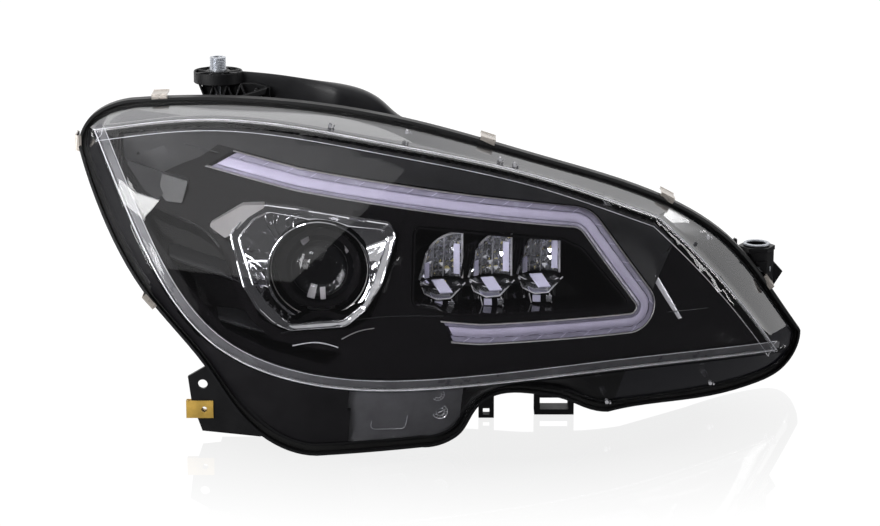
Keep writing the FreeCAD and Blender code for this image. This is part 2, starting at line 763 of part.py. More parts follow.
turned("projector_shroud", [
    ("44", "glass_back_y - 19"), ("45.6", "glass_back_y - 19"), ("44.6", "glass_back_y + 11"),
    ("43", "glass_back_y + 11"),
], ON_AXIS)
turned("lens_retainer", [
    ("dome_r + 0.7", "glass_back_y - 5.5"), ("glass_r + 4", "glass_back_y - 5.5"),
    ("glass_r + 4", "glass_back_y + 3"), ("glass_r + 2.1", "glass_back_y + 3"),
    ("glass_r + 2.1", "glass_back_y - 3.1"), ("dome_r + 0.7", "glass_back_y - 3.1"),
], ON_AXIS)
turned("xenon_bulb", [
    ("0", "-4"), ("2.5", "-4"), ("4.5", "-1"), ("4.5", "26"), ("10.5", "26"), ("10.5", "34.1"),
    ("16", "34.1"), ("16", "37"), ("9", "37"), ("9", "41"), ("0", "41"),
], ON_AXIS)


def projector_lens():
    """Flat at the back, a spherical bulge in front, and a lip that the retainer holds."""
    radius, rise = size("dome_r"), size("dome_rise")
    lip_y = GLASS_Y - size("lip")
    sphere_r = (radius ** 2 + rise ** 2) / (2 * rise)
    ball = Part.makeSphere(sphere_r, Vector(AXIS_X, lip_y - rise + sphere_r, AXIS_Z))
    room = block((AXIS_X - 40, lip_y - rise - 1, AXIS_Z - 40), (AXIS_X + 40, lip_y, AXIS_Z + 40))
    lip = rod((AXIS_X, lip_y, AXIS_Z), (AXIS_X, GLASS_Y, AXIS_Z), size("glass_r"))
    return ball.common(room).fuse(lip).Solids[0]


def revolved(profile):
    """A solid turned about the projector's axis. profile is a list of (radius, y)."""
    points = [Vector(AXIS_X + radius, y, AXIS_Z) for radius, y in profile]
    face = Part.Face(Part.makePolygon(points + points[:1]))
    return face.revolve(Vector(AXIS_X, 0, AXIS_Z), BACK, 360)


SWIVEL_BALL_X = 49.0  # swivel rod's ball, outboard of the projector's axis
SWIVEL_BALL_R = 4.0
EAR_IN, EAR_OUT = 39.9, 46.0


def projector_holder():
    """A tapered casting with a flange, ears for the swivel pins and an eye for the swivel rod."""
    glass, wall, flange = size("glass_r"), size("holder_wall"), size("flange_r")
    cone = revolved([
        (glass + 2, GLASS_Y), (glass + 2, -60), (38, -36), (38, -30), (flange, -30), (flange, -26.5),
        (38 - wall, -26.5), (38 - wall, -36), (glass + 2 - wall, -60), (glass + 2 - wall, -65),
        (29.5, -65), (29.5, GLASS_Y),
    ])
    ears = []
    for side in (-1, 1):
        low, high = sorted((AXIS_Z + side * EAR_IN, AXIS_Z + side * EAR_OUT))
        ears.append(block((AXIS_X - 7, -31, low), (AXIS_X + 7, -20, high)))
    eye_x = AXIS_X + SWIVEL_BALL_X
    eye = rod((eye_x, GIMBAL_Y, AXIS_Z - 4), (eye_x, GIMBAL_Y, AXIS_Z + 4), SWIVEL_BALL_R + 3.2)
    lug = block((AXIS_X + 39.5, -30, AXIS_Z - 4), (eye_x - 5, -26.6, AXIS_Z + 4))
    body = joined(cone, *ears, eye, lug)
    pin_room = size("pivot_r") + size("pivot_gap")
    pins = rod((AXIS_X, GIMBAL_Y, AXIS_Z - 50), (AXIS_X, GIMBAL_Y, AXIS_Z + 50), pin_room)
    pins = pins.cut(revolved([(0, -80), (38 - wall, -80), (38 - wall, 0), (0, 0)]))
    bore = rod((eye_x, GIMBAL_Y, AXIS_Z - 6), (eye_x, GIMBAL_Y, AXIS_Z + 6), SWIVEL_BALL_R + 0.4)
    slot = block((eye_x - 3.2, GIMBAL_Y, AXIS_Z - 6), (eye_x + 3.2, GIMBAL_Y + 12, AXIS_Z + 6))
    stem = rod((AXIS_X - 15, SHUTTER_Y, SHUTTER_Z), (AXIS_X + 15, SHUTTER_Y, SHUTTER_Z), 1.2)
    lugs = []
    for side in (-1, 1):
        x = AXIS_X + side * 13
        lugs.append(block((x - 1.5, SHUTTER_Y - 3, AXIS_Z - 34), (x + 1.5, SHUTTER_Y + 3, SHUTTER_Z + 3)))
    return body.fuse(lugs).cut([pins, bore, slot, stem]).Solids[0]


SHUTTER_Y, SHUTTER_Z = -40.0, AXIS_Z - 26  # the shutter's pin
SHUTTER_THICK = 1.2


def cutoff_shutter():
    """A stepped blade below the axis, hinged at its foot."""
    x, y = AXIS_X, SHUTTER_Y
    corners = [
        (-31, -1), (-3, -1), (0, -3), (30, -3), (27, -14), (22, -19), (10.5, -20), (10.5, -26),
        (-10.5, -26), (-10.5, -20), (-22, -19), (-28, -14),
    ]
    points = [Vector(x + u, y - SHUTTER_THICK / 2, AXIS_Z + v) for u, v in corners]
    blade = Part.Face(Part.makePolygon(points + points[:1])).extrude(Vector(0, SHUTTER_THICK, 0))
    barrel = rod((x - 10.5, y, SHUTTER_Z), (x + 10.5, y, SHUTTER_Z), 2.4)
    bore = rod((x - 12, y, SHUTTER_Z), (x + 12, y, SHUTTER_Z), 1.2 + size("pivot_gap"))
    return blade.fuse(barrel).cut(bore).removeSplitter().Solids[0]


def shutter_solenoid():
    """The coil that pulls the shutter down, in a can under the holder."""
    can = block((AXIS_X - 12, -56, AXIS_Z - 55), (AXIS_X + 12, -36, AXIS_Z - 30))
    cone = revolved([(0, -90), (34.1, -90), (34.1, -60), (38.1, -36), (38.1, -20), (0, -20)])
    return can.cut(cone).Solids[0]


def projector_reflector():
    """A deep bowl with a flange at its mouth and a neck that seats the bulb."""
    wall = size("holder_wall")
    start, end, neck_r = -22.5, 27.0, 14.0
    mouth = size("bowl_mouth_r")
    steps = 7

    def bowl(extra):
        points = []
        for i in range(steps + 1):
            y = start + (end - start) * i / steps
            ratio = (y - start) / (end - start)
            points.append((neck_r + (mouth - neck_r) * math.sqrt(1 - ratio ** 2.2) + extra, y))
        return points

    outside = [(39.5, -26.45), (39.5, -22.5)] + bowl(wall) + [(16, 28.5), (16, 34)]
    inside = [(11, 34), (11, 26)] + bowl(0)[::-1][1:] + [(mouth, -26.45)]
    return revolved(outside + inside).Solids[0]


def igniter():
    """The starter box on the back of the bulb, with its plug stub."""
    box = block((AXIS_X - 19, 41.05, AXIS_Z - 19), (AXIS_X + 19, 72, AXIS_Z + 19))
    box = box.makeFillet(3, [edge for edge in box.Edges if abs(edge.tangentAt(0).y) > 0.9])
    return joined(box, block((AXIS_X - 10, 72, AXIS_Z - 12), (AXIS_X + 10, 80, AXIS_Z + 2)))


def bulb_lock_ring():
    """Clamps the bulb's flange against the neck; three wings turn it."""
    ring = revolved([(16.5, 30), (22, 30), (22, 40), (12, 40), (12, 37.4), (16.5, 37.4)])
    wings = []
    for i in range(3):
        wing = block((AXIS_X - 3, 33, AXIS_Z + 20), (AXIS_X + 3, 39, AXIS_Z + 27))
        wing.rotate(Vector(AXIS_X, 0, AXIS_Z), BACK, 120.0 * i)
        wings.append(wing)
    return joined(ring, *wings)


freeform("projector_lens", projector_lens())
freeform("projector_holder", projector_holder())
freeform("cutoff_shutter", cutoff_shutter())
pin_ends = [(AXIS_X + side * 14.5, SHUTTER_Y, SHUTTER_Z) for side in (-1, 1)]
freeform("shutter_pin", rod(*pin_ends, 1.2))
freeform("shutter_solenoid", shutter_solenoid())
freeform("projector_reflector", projector_reflector())
freeform("igniter", igniter())
freeform("bulb_lock_ring", bulb_lock_ring())


# ---------------------------------------------------------------- aiming gear

ARM_IN, ARM_OUT = 71.0, 80.0  # carrier's arms, from the axis
EYE_R, EYE_HALF = 9.0, 7.0

frame = padded("aim_frame", [
    ("0 - frame_half_x", "0 - frame_half_z"), ("frame_half_x", "0 - frame_half_z"),
    ("frame_half_x", "frame_half_z"), ("7", "frame_half_z"), ("7", "arm_drop - 6"),
    ("0 - 7", "arm_drop - 6"), ("0 - 7", "frame_half_z"), ("0 - frame_half_x", "frame_half_z"),
], "frame_thick", at(AXIS_X, GIMBAL_Y - size("frame_thick") / 2, AXIS_Z, LOCAL_Z_TO_BACK))
opening = drawn(frame, "XY_Plane", [
    ("0 - open_half_x", "0 - open_half_z"), ("open_half_x", "0 - open_half_z"),
    ("open_half_x", "open_half_z"), ("0 - open_half_x", "open_half_z"),
], "aim_frame_opening")
pocket_through(frame, opening, "aim_frame_window")


def aim_frame_with_bores():
    """The plate with its levelling eye, and the holes that its four pins are pressed into."""
    x, z = MOTOR
    centre = Vector(x, GIMBAL_Y, z)
    eye = rod((x - EYE_HALF, GIMBAL_Y, z), (x + EYE_HALF, GIMBAL_Y, z), EYE_R)
    bore = rod((x - 9, GIMBAL_Y, z), (x + 9, GIMBAL_Y, z), size("ball_r") + 0.4)
    slot = block((x - 9, GIMBAL_Y, z - 3.3), (x + 9, GIMBAL_Y + 12, z + 3.3))
    pin_r = size("pivot_r") + 0.02
    across = rod((AXIS_X - 90, GIMBAL_Y, AXIS_Z), (AXIS_X + 90, GIMBAL_Y, AXIS_Z), pin_r)
    upright_bore = rod((AXIS_X, GIMBAL_Y, AXIS_Z - 57), (AXIS_X, GIMBAL_Y, AXIS_Z + 57), pin_r)
    plate = frame.Shape.copy()
    return plate.fuse(eye).cut([bore, slot, across, upright_bore]).removeSplitter().Solids[0]


def pitch_pins():
    half = size("frame_half_x")
    pins = [
        rod((AXIS_X + side * (half - 9), GIMBAL_Y, AXIS_Z), (AXIS_X + side * (ARM_OUT - 1), GIMBAL_Y, AXIS_Z),
            size("pivot_r")) for side in (-1, 1)
    ]
    return Part.Compound(pins)


def swivel_pins():
    half = size("frame_half_z")
    pins = [
        rod((AXIS_X, GIMBAL_Y, AXIS_Z + side * (half - 1)), (AXIS_X, GIMBAL_Y, AXIS_Z + side * (EAR_IN + 1)),
            size("pivot_r")) for side in (-1, 1)
    ]
    return Part.Compound(pins)


def gimbal_carrier():
    """A yoke on the housing's back wall; its two arms carry the pitch pins."""
    back = BACK_Y - size("shell_wall") - 0.05
    pieces = [block((AXIS_X - ARM_OUT, back - 8, AXIS_Z + 56), (AXIS_X + ARM_OUT, back, AXIS_Z + 64))]
    for side in (-1, 1):
        low, high = sorted((AXIS_X + side * ARM_IN, AXIS_X + side * ARM_OUT))
        pieces.append(block((low, GIMBAL_Y - 7, AXIS_Z - 9), (high, back, AXIS_Z + 9)))
        pieces.append(block((low, back - 8, AXIS_Z - 9), (high, back, AXIS_Z + 64)))
    pin_room = size("pivot_r") + size("pivot_gap")
    bore = rod((AXIS_X - 90, GIMBAL_Y, AXIS_Z), (AXIS_X + 90, GIMBAL_Y, AXIS_Z), pin_room)
    return joined(*pieces).cut(bore).Solids[0]


def link_rod(ball, ball_r, end_y):
    """A rod along Y with a ball on its front end."""
    x, y, z = ball
    return joined(Part.makeSphere(ball_r, Vector(x, y, z)), rod((x, y, z), (x, end_y, z), size("rod_r")))


def levelling_motor():
    """A round motor that passes through the back, with a flange outside and a worm box beside it."""
    x, z = MOTOR
    screw_x = VERTICAL_SCREW[0]
    radius = size("motor_r")
    body = joined(
        rod((x, 52, z), (x, 106, z), radius), rod((x, BACK_Y + 1.6, z), (x, BACK_Y + 4.6, z), radius + 6),
        block((screw_x - 8, 56, z - 9), (x, 82, z + 9)), block((x - 11, 105, z - 7), (x + 11, 118, z + 7)),
    )
    rod_bore = rod((x, 50, z), (x, 78, z), size("rod_r") + size("pivot_gap"))
    screw_bore = rod((screw_x, 70, z), (screw_x, 84, z), 3 + size("pivot_gap"))
    return body.cut([rod_bore, screw_bore]).Solids[0]


def swivel_gearbox():
    """Turns the upright screw into the swivel rod's travel; bolted to the carrier's arm."""
    x, y = HORIZONTAL_SCREW
    rod_x = AXIS_X + SWIVEL_BALL_X
    box = block((rod_x - 7, 56, AXIS_Z - 10), (AXIS_X + ARM_IN - 0.05, 79, AXIS_Z + 14))
    rod_bore = rod((rod_x, 54, AXIS_Z), (rod_x, 76, AXIS_Z), size("rod_r") + size("pivot_gap"))
    screw_bore = rod((x, y, AXIS_Z + 5), (x, y, AXIS_Z + 20), 3 + size("pivot_gap"))
    return box.cut([rod_bore, screw_bore]).Solids[0]


def aim_screw(start, end, neck):
    """A shaft with a hexagon head and a flange, its length from start to end."""
    axis = (Vector(*end) - Vector(*start)).normalize()
    shaft = rod(start, end, 3.0)
    hexagon = Part.makePolygon([
        Vector(6.5 * math.cos(math.radians(a)), 6.5 * math.sin(math.radians(a)), 0) for a in range(0, 420, 60)
    ])
    head = Part.Face(hexagon).extrude(Vector(0, 0, 7))
    head.Placement = Placement(Vector(*neck), Rotation(Vector(0, 0, 1), axis))
    collar = Part.makeCylinder(7.5, 1.5, Vector(*neck), axis)
    cross = block((-4, -0.8, 4), (4, 0.8, 9))
    cross.Placement = head.Placement
    return joined(shaft, head, collar).cut(cross).Solids[0]


finished_frame = aim_frame_with_bores()
doc.removeObject(frame.Name)
freeform("aim_frame", finished_frame)
freeform("pitch_pins", pitch_pins())
freeform("swivel_pins", swivel_pins())
freeform("gimbal_carrier", gimbal_carrier())
freeform("levelling_rod", link_rod((MOTOR[0], GIMBAL_Y, MOTOR[1]), size("ball_r"), 68))
freeform("swivel_rod", link_rod((AXIS_X + SWIVEL_BALL_X, GIMBAL_Y, AXIS_Z), SWIVEL_BALL_R, 68))
freeform("levelling_motor", levelling_motor())
freeform("swivel_gearbox", swivel_gearbox())
screw_x, screw_z = VERTICAL_SCREW
freeform("vertical_aim_screw", aim_screw(
    (screw_x, 73, screw_z), (screw_x, BACK_Y + 4, screw_z), (screw_x, BACK_Y + 2, screw_z)
))
screw_x, screw_y = HORIZONTAL_SCREW
freeform("horizontal_aim_screw", aim_screw(
    (screw_x, screw_y, AXIS_Z + 7), (screw_x, screw_y, 263), (screw_x, screw_y, 261)
))


# ---------------------------------------------------------------- service caps

def service_cap(name, centre, bore, mouth):
    """A bayonet cap: plug, flange, three lugs and a finger bar. bore and mouth name dimensions."""
    x, z = centre
    cap = turned(name, [
        ("0", f"{mouth} + 1"), (f"{bore} - 4", f"{mouth} + 1"), (f"{bore} - 4", f"{mouth} - 12"),
        (f"{bore} - 0.5", f"{mouth} - 12"), (f"{bore} - 0.5", f"{mouth} + 2"),
        (f"{bore} + 7", f"{mouth} + 2"), (f"{bore} + 7", f"{mouth} + 5"), ("0", f"{mouth} + 5"),
    ], at(x, 0, z, LOCAL_Z_TO_BACK))
    reach = worked_out(bore) * 0.72
    grip = cap.newObject("Sketcher::SketchObject", name + "_grip_outline")
    grip.AttachmentSupport = (origin_plane(cap, "XY_Plane"), "")
    grip.MapMode = "FlatFace"
    grip.AttachmentOffset = at(0, 0, worked_out(mouth) + 4)
    ends = [(-reach, -4), (reach, -4), (reach, 4), (-reach, 4)]
    for (u, v), (u_next, v_next) in zip(ends, ends[1:] + ends[:1]):
        grip.addGeometry(Part.LineSegment(Vector(u, v, 0), Vector(u_next, v_next, 0)), False)
    bar = cap.newObject("PartDesign::Pad", name + "_grip")
    bar.Profile = grip
    bar.Length = 11
    doc.recompute()
    lug = cap.newObject("Sketcher::SketchObject", name + "_lug_outline")
    lug.AttachmentSupport = (origin_plane(cap, "XY_Plane"), "")
    lug.MapMode = "FlatFace"
    lug.AttachmentOffset = at(0, 0, worked_out(mouth) - 11)
    inner, outer, half = worked_out(bore) - 3, worked_out(bore) + LUG_REACH - 0.8, LUG_WIDE / 2
    turned_by = Rotation(Vector(0, 0, 1), BAYONET_TURN)
    corners = [
        turned_by.multVec(Vector(u, v, 0))
        for u, v in ((-half, -inner), (half, -inner), (half, -outer), (-half, -outer))
    ]
    for start, end in zip(corners, corners[1:] + corners[:1]):
        lug.addGeometry(Part.LineSegment(start, end), False)
    first = cap.newObject("PartDesign::Pad", name + "_lug")
    first.Profile = lug
    first.Length = 5.6
    doc.recompute()
    around = cap.newObject("PartDesign::PolarPattern", name + "_lugs")
    around.Originals = [first]
    around.Axis = (grip, ["N_Axis"])
    around.Angle = 360
    around.Occurrences = BAYONET_LUGS
    cap.Tip = around
    doc.recompute()
    return cap


service_cap("main_service_cap", AXIS, "cap_bore_r", "cap_boss_y")
service_cap("small_service_cap", PORT, "port_bore_r", "port_boss_y")
for seal_name, (x, z), bore, mouth in (
    ("main_cap_seal", AXIS, "cap_bore_r", "cap_boss_y"),
    ("small_cap_seal", PORT, "port_bore_r", "port_boss_y"),
):
    turned(seal_name, [
        (f"{bore} + 0.6", f"{mouth} + 0.3"), (f"{bore} + 4.6", f"{mouth} + 0.3"),
        (f"{bore} + 4.6", f"{mouth} + 1.98"), (f"{bore} + 0.6", f"{mouth} + 1.98"),
    ], at(x, 0, z, LOCAL_Z_TO_BACK))


# ---------------------------------------------------------------- what sits on the housing's outside

def motor_seal():
    x, z = MOTOR
    radius = size("motor_r")
    outer = rod((x, BACK_Y + 0.1, z), (x, BACK_Y + 1.55, z), radius + 5)
    return outer.cut(rod((x, BACK_Y - 1, z), (x, BACK_Y + 3, z), radius + 1.2))


def main_connector():
    """An open-mouthed socket; its floor closes the hole in the back."""
    x, z = PLUG
    front, back = BACK_Y - 5, BACK_Y + 30
    body = joined(
        block((x - 15, front, z - 9), (x + 15, back, z + 9)),
        block((x - 20, BACK_Y + 0.05, z - 13), (x + 20, BACK_Y + 3, z + 13)),
        block((x - 3, BACK_Y + 3, z + 8), (x + 3, BACK_Y + 16, z + 11)),
    )
    mouth = block((x - 13, BACK_Y + 4, z - 7), (x + 13, back + 1, z + 7))
    holes = [rod((px, front - 1, pz), (px, back, pz), 0.85) for px, pz in pin_places()]
    return body.cut([mouth] + holes).Solids[0]


def pin_places():
    x, z = PLUG
    return [(x + (i - 2) * 5, z + row * 3.5) for i in range(5) for row in (-1, 1)]


def connector_pins():
    return Part.Compound([rod((x, BACK_Y - 9, z), (x, BACK_Y + 21, z), 0.8) for x, z in pin_places()])


def breather_vents():
    """Stubs through the back, each under a mushroom cap."""
    vents = []
    for x, z in VENTS:
        stem = rod((x, BACK_Y - 6, z), (x, BACK_Y + 5, z), 3.1)
        cap = rod((x, BACK_Y + 4, z), (x, BACK_Y + 11, z), 9)
        cap = cap.cut(rod((x, BACK_Y + 3, z), (x, BACK_Y + 9, z), 7.8))
        collar = rod((x, BACK_Y + 0.05, z), (x, BACK_Y + 1.5, z), 6)
        roof = rod((x, BACK_Y + 4.9, z), (x, BACK_Y + 10, z), 3.1)
        vents.append(joined(stem, collar, roof, cap))
    return Part.Compound(vents)


def xenon_ballast():
    """A die-cast box with cooling fins along its underside and a plug at its outboard end."""
    x, y = BALLAST
    wide, deep, tall = size("ballast_wide"), size("ballast_deep"), size("ballast_tall")
    box = block((x, y, 4), (x + wide, y + deep, tall - 0.05))
    box = box.makeFillet(4, [edge for edge in box.Edges if abs(edge.tangentAt(0).z) > 0.9])
    fins = 10
    pieces = [box]
    for i in range(fins):
        fin_y = y + 6 + (deep - 14) * i / (fins - 1)
        pieces.append(block((x + 14, fin_y, 0), (x + wide - 14, fin_y + 2.2, 5)))
    pieces.append(block((x + wide - 2, y + 48, 8), (x + wide + 12, y + 70, 22)))
    tools = []
    for screw_x, screw_y in ballast_screw_places():
        tools.append(rod((screw_x, screw_y, -1), (screw_x, screw_y, tall + 1), 2.1))
        tools.append(rod((screw_x, screw_y, -1), (screw_x, screw_y, 9), 4.4))
    return joined(*pieces).cut(tools).Solids[0]


def ballast_screws():
    screws = []
    for x, y in ballast_screw_places():
        screws.append(joined(rod((x, y, 5.4), (x, y, 9), 4), rod((x, y, 8), (x, y, 38), 1.65)))
    return Part.Compound(screws)


freeform("motor_seal", motor_seal())
freeform("main_connector", main_connector())
freeform("connector_pins", connector_pins())
freeform("breather_vents", breather_vents())
freeform("xenon_ballast", xenon_ballast())
freeform("ballast_screws", ballast_screws())


# ---------------------------------------------------------------- mounts

SLEEVE_X, SLEEVE_Y = size("sleeve_x"), size("sleeve_y")


def seated(shape):
    """The shape with the housing's own space taken out, so that it rests on the housing."""
    return largest(shape.cut(OUTSIDE))


def plate_y(outline, near, far):
    """A flat plate across the lamp, between two depths."""
    points = [Vector(x, near, z) for x, z in outline]
    return Part.Face(Part.makePolygon(points + points[:1])).extrude(Vector(0, far - near, 0))


def upper_mount_arm():
    """A disc on a ribbed pedestal, with a blade that runs outboard and down on to the housing."""
    top, thick, radius = size("disc_top"), size("disc_thick"), size("disc_r")
    x, y = SLEEVE_X, SLEEVE_Y
    disc = rod((x, y, top - thick), (x, y, top), radius)
    blade = plate_y([
        (x + 6, top - 2), (x + 60, top - 7), (-74, 292), (-56, 276), (-38, 262), (-38, 240), (-80, 246),
        (-110, 262), (-150, 280), (x + 6, 292),
    ], y - 10, y + 10)
    under = top - thick + 1
    ribs = [block((x - 14, y + s, 262), (x + 40, y + s + 3, under)) for s in (-14, -1.5, 11)]
    cross = [block((x + s, y - 14, 262), (x + s + 3, y + 14, under)) for s in (-14, 12, 37)]
    boss = rod((x, y, 284), (x, y, top), size("sleeve_r") + 4)
    pad = block((x - 16, y - 16, 262), (x + 47, y + 16, 284))
    whole = joined(disc, blade, *ribs, *cross, boss, pad)
    bore = rod((x, y, 285.5), (x, y, top + 1), size("sleeve_r") + size("pivot_gap"))
    return seated(whole.cut(bore))


def adjuster_sleeve():
    """A threaded sleeve: fine grooves stand for its thread; its bore takes the car's bolt."""
    x, y, top = SLEEVE_X, SLEEVE_Y, size("sleeve_top")
    radius, bore = size("sleeve_r"), size("sleeve_bore_r")
    points, z, pitch = [(bore, 286.0), (radius - 0.8, 286.0)], 312.0, 1.5
    points += [(radius, 286.8), (radius, z)]
    while z + pitch < top:
        points += [(radius - 0.8, z + pitch / 2), (radius, z + pitch)]
        z += pitch
    points += [(radius - 0.8, top), (bore, top)]
    face = Part.Face(Part.makePolygon([Vector(x + r, y, h) for r, h in points + points[:1]]))
    return face.revolve(Vector(x, y, 0), Vector(0, 0, 1), 360)


def outer_mount_ear():
    """A ribbed ear behind the tail that carries the outer bush. It stays clear of the rim and its clips."""
    x, y = size("bush_x"), size("bush_y")
    low, tall = size("bush_low"), size("bush_tall")
    plate = plate_y([(256, 127), (264, 138), (293, 125), (310, 106), (299, 88), (266, 94)], y - 2, y + 2)
    barrel = rod((x, y, low - 8), (x, y, low + tall - 6), size("bush_r") + 4)
    web = [block((252, y + near, 82), (x + 8, y + far, 119)) for near, far in ((-18, -11), (11, 14))]
    floor = block((252, y - 18, 86), (x + 12, y + 14, 92))
    bore = rod((x, y, low - 0.05), (x, y, 160), size("bush_r") + 0.1)
    through = rod((x, y, 80), (x, y, low), size("bush_bore_r") + 0.2)
    nut_room = rod((x, y, low + tall - 6), (x, y, 160), size("bush_r") + 6)
    rim_room = prism(inset(RIM, -2)).common(slab(rim(16), 23.5))
    return seated(joined(plate, barrel, *web, floor).cut([bore, through, nut_room, rim_room]))


turned("outer_mount_bush", [
    ("bush_bore_r", "bush_low"), ("bush_r", "bush_low"), ("bush_r", "bush_low + bush_tall"),
    ("bush_bore_r", "bush_low + bush_tall"),
], at(size("bush_x"), size("bush_y"), 0))


def bush_nut():
    """A hexagon nut on the bush, above the ear."""
    x, y, z = size("bush_x"), size("bush_y"), size("bush_low") + size("bush_tall") - 5.95
    across = size("bush_r") + 5
    corners = [Vector(x + across * math.cos(math.radians(a)), y + across * math.sin(math.radians(a)), z)
               for a in range(0, 420, 60)]
    nut = Part.Face(Part.makePolygon(corners)).extrude(Vector(0, 0, 4))
    return nut.cut(rod((x, y, z - 1), (x, y, z + 6), size("bush_r") + 0.05))


NUT_PLACE = (-222.0, 26.0)
BRACKET_HOLE = (-223.0, 49.0)


def lower_mount_bracket():
    """A plate beside the inboard cheek: a bolt hole above and a notch that takes the speed nut."""
    near = size("bracket_y")
    far = near + size("bracket_thick")
    outline = [(-236, 56), (-219, 66), (-186, 72), (-150, 40), (-150, 4), (-173, 0.5), (-224, 6), (-233, 32)]
    (hole_x, hole_z), (nut_x, nut_z) = BRACKET_HOLE, NUT_PLACE
    tools = [rod((hole_x, near - 1, hole_z), (hole_x, far + 1, hole_z), size("bracket_hole_r")),
             rod((nut_x, near - 1, nut_z), (nut_x, far + 1, nut_z), 4.5)]
    plate = plate_y(outline, near, far).cut(tools)
    rib = block((-208, far - 1, 4), (-150, far + 14, 8))
    return seated(joined(plate, rib))


def speed_nut():
    """A folded steel clip that hugs the plate's edge, with a tapped collar."""
    x, z = NUT_PLACE
    near = size("bracket_y")
    far = near + size("bracket_thick")
    steel, gap = 0.9, 0.05
    front = block((x - 16, near - gap - steel, z - 8), (x + 8, near - gap, z + 8))
    back = block((x - 16, far + gap, z - 8), (x + 8, far + gap + steel, z + 8))
    fold = block((x - 16, near - gap - steel, z - 8), (x - 15, far + gap + steel, z + 8))
    collar = rod((x, far + gap, z), (x, far + 5, z), 4.2)
    bore = rod((x, near - 4, z), (x, far + 8, z), 2.5)
    return joined(front, back, fold, collar).cut(bore).Solids[0]


def lower_guide_tabs():
    """A loop and an open frame under the brow of the lower edge, which locate the lamp in the wing."""
    loop = block((22, -4, 0), (36, 5, 60)).cut(block((26, -6, 3), (32, 8, 9)))
    frame_tab = block((73, 6, 0), (109, 26, 70)).cut(block((78, 4, 5), (104, 30, 16)))
    frame_tab = frame_tab.cut(block((76, 9, 19), (106, 30, 80)))
    return Part.Compound([seated(loop), seated(frame_tab)])


freeform("upper_mount_arm", upper_mount_arm())
freeform("adjuster_sleeve", adjuster_sleeve())
freeform("outer_mount_ear", outer_mount_ear())
freeform("bush_nut", bush_nut())
freeform("lower_mount_bracket", lower_mount_bracket())
freeform("speed_nut", speed_nut())
freeform("lower_guide_tabs", lower_guide_tabs())


# ---------------------------------------------------------------- checks and export

doc.recompute()
for thing in doc.Objects:
    if {"Invalid", "Error"} & set(thing.State):
        raise RuntimeError(f"{thing.Name} failed: {thing.State}")
os.makedirs("parts", exist_ok=True)
for name, thing in kept.items():
    shape = thing.Shape
    if shape.isNull() or not shape.isValid() or shape.Volume <= 0:
        raise RuntimeError(f"{name} has no valid shape")
    path = f"parts/{name}.step"
    shape.exportStep(path)
    again = Part.Shape()
    again.read(path)
    if len(again.Solids) != len(shape.Solids) or not again.isValid():
        raise RuntimeError(f"{name} isn't the same after it's read back from its STEP file")
    box = shape.optimalBoundingBox(True, False)
    low = (round(box.XMin, 1), round(box.YMin, 1), round(box.ZMin, 1))
    high = (round(box.XMax, 1), round(box.YMax, 1), round(box.ZMax, 1))
    print(f"{name:22} {len(shape.Solids)} solids {shape.Volume / 1000:9.1f} cm3  {low} {high}")
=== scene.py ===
"""The headlight's looks: detailed meshes, finishes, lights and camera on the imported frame."""

import json
import math

import bmesh
import bpy
import numpy as np
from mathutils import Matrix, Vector, geometry


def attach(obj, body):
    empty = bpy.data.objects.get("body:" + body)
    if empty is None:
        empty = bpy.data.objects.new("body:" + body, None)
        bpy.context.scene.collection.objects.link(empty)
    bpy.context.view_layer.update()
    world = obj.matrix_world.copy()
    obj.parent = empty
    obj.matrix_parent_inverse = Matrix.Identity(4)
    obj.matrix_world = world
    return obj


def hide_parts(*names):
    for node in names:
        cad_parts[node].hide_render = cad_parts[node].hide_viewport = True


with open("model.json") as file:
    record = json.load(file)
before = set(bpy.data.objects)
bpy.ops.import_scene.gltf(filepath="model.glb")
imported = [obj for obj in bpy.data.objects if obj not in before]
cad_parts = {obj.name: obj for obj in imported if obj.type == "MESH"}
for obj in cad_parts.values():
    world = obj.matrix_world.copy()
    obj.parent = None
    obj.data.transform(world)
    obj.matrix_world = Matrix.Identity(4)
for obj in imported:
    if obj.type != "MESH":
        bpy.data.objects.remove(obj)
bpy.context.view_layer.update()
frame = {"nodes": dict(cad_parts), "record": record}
MM = 0.001
WELD = 2e-6
AXIS = (-118.0, 158.0)  # the projector's axis, as x and z in millimetres


# ---- finishes

FINISHES = {}
DRIFT_FROM, DRIFT_TO = 0.3, 0.72  # the part of the cloud noise's range that tone acts over


def set_sockets(tree, node, values):
    """Sets a node's inputs by name, or links them where the value is another node's output."""
    for key, value in values.items():
        socket = node.inputs[key.replace("_", " ")]
        if isinstance(value, bpy.types.NodeSocket):
            tree.links.new(value, socket)
        else:
            socket.default_value = value


def new_node(tree, kind, **values):
    node = tree.nodes.new("ShaderNode" + kind)
    set_sockets(tree, node, values)
    return node


def mixed(tree, share, first, second, end="Material Output"):
    """Sends two shaders to the end node, mixed by share of the second."""
    mix = tree.nodes.new("ShaderNodeMixShader")
    for socket, source in zip(mix.inputs, (share, first.outputs[0], second.outputs[0])):
        tree.links.new(source, socket)
    tree.links.new(mix.outputs[0], tree.nodes[end].inputs[0])


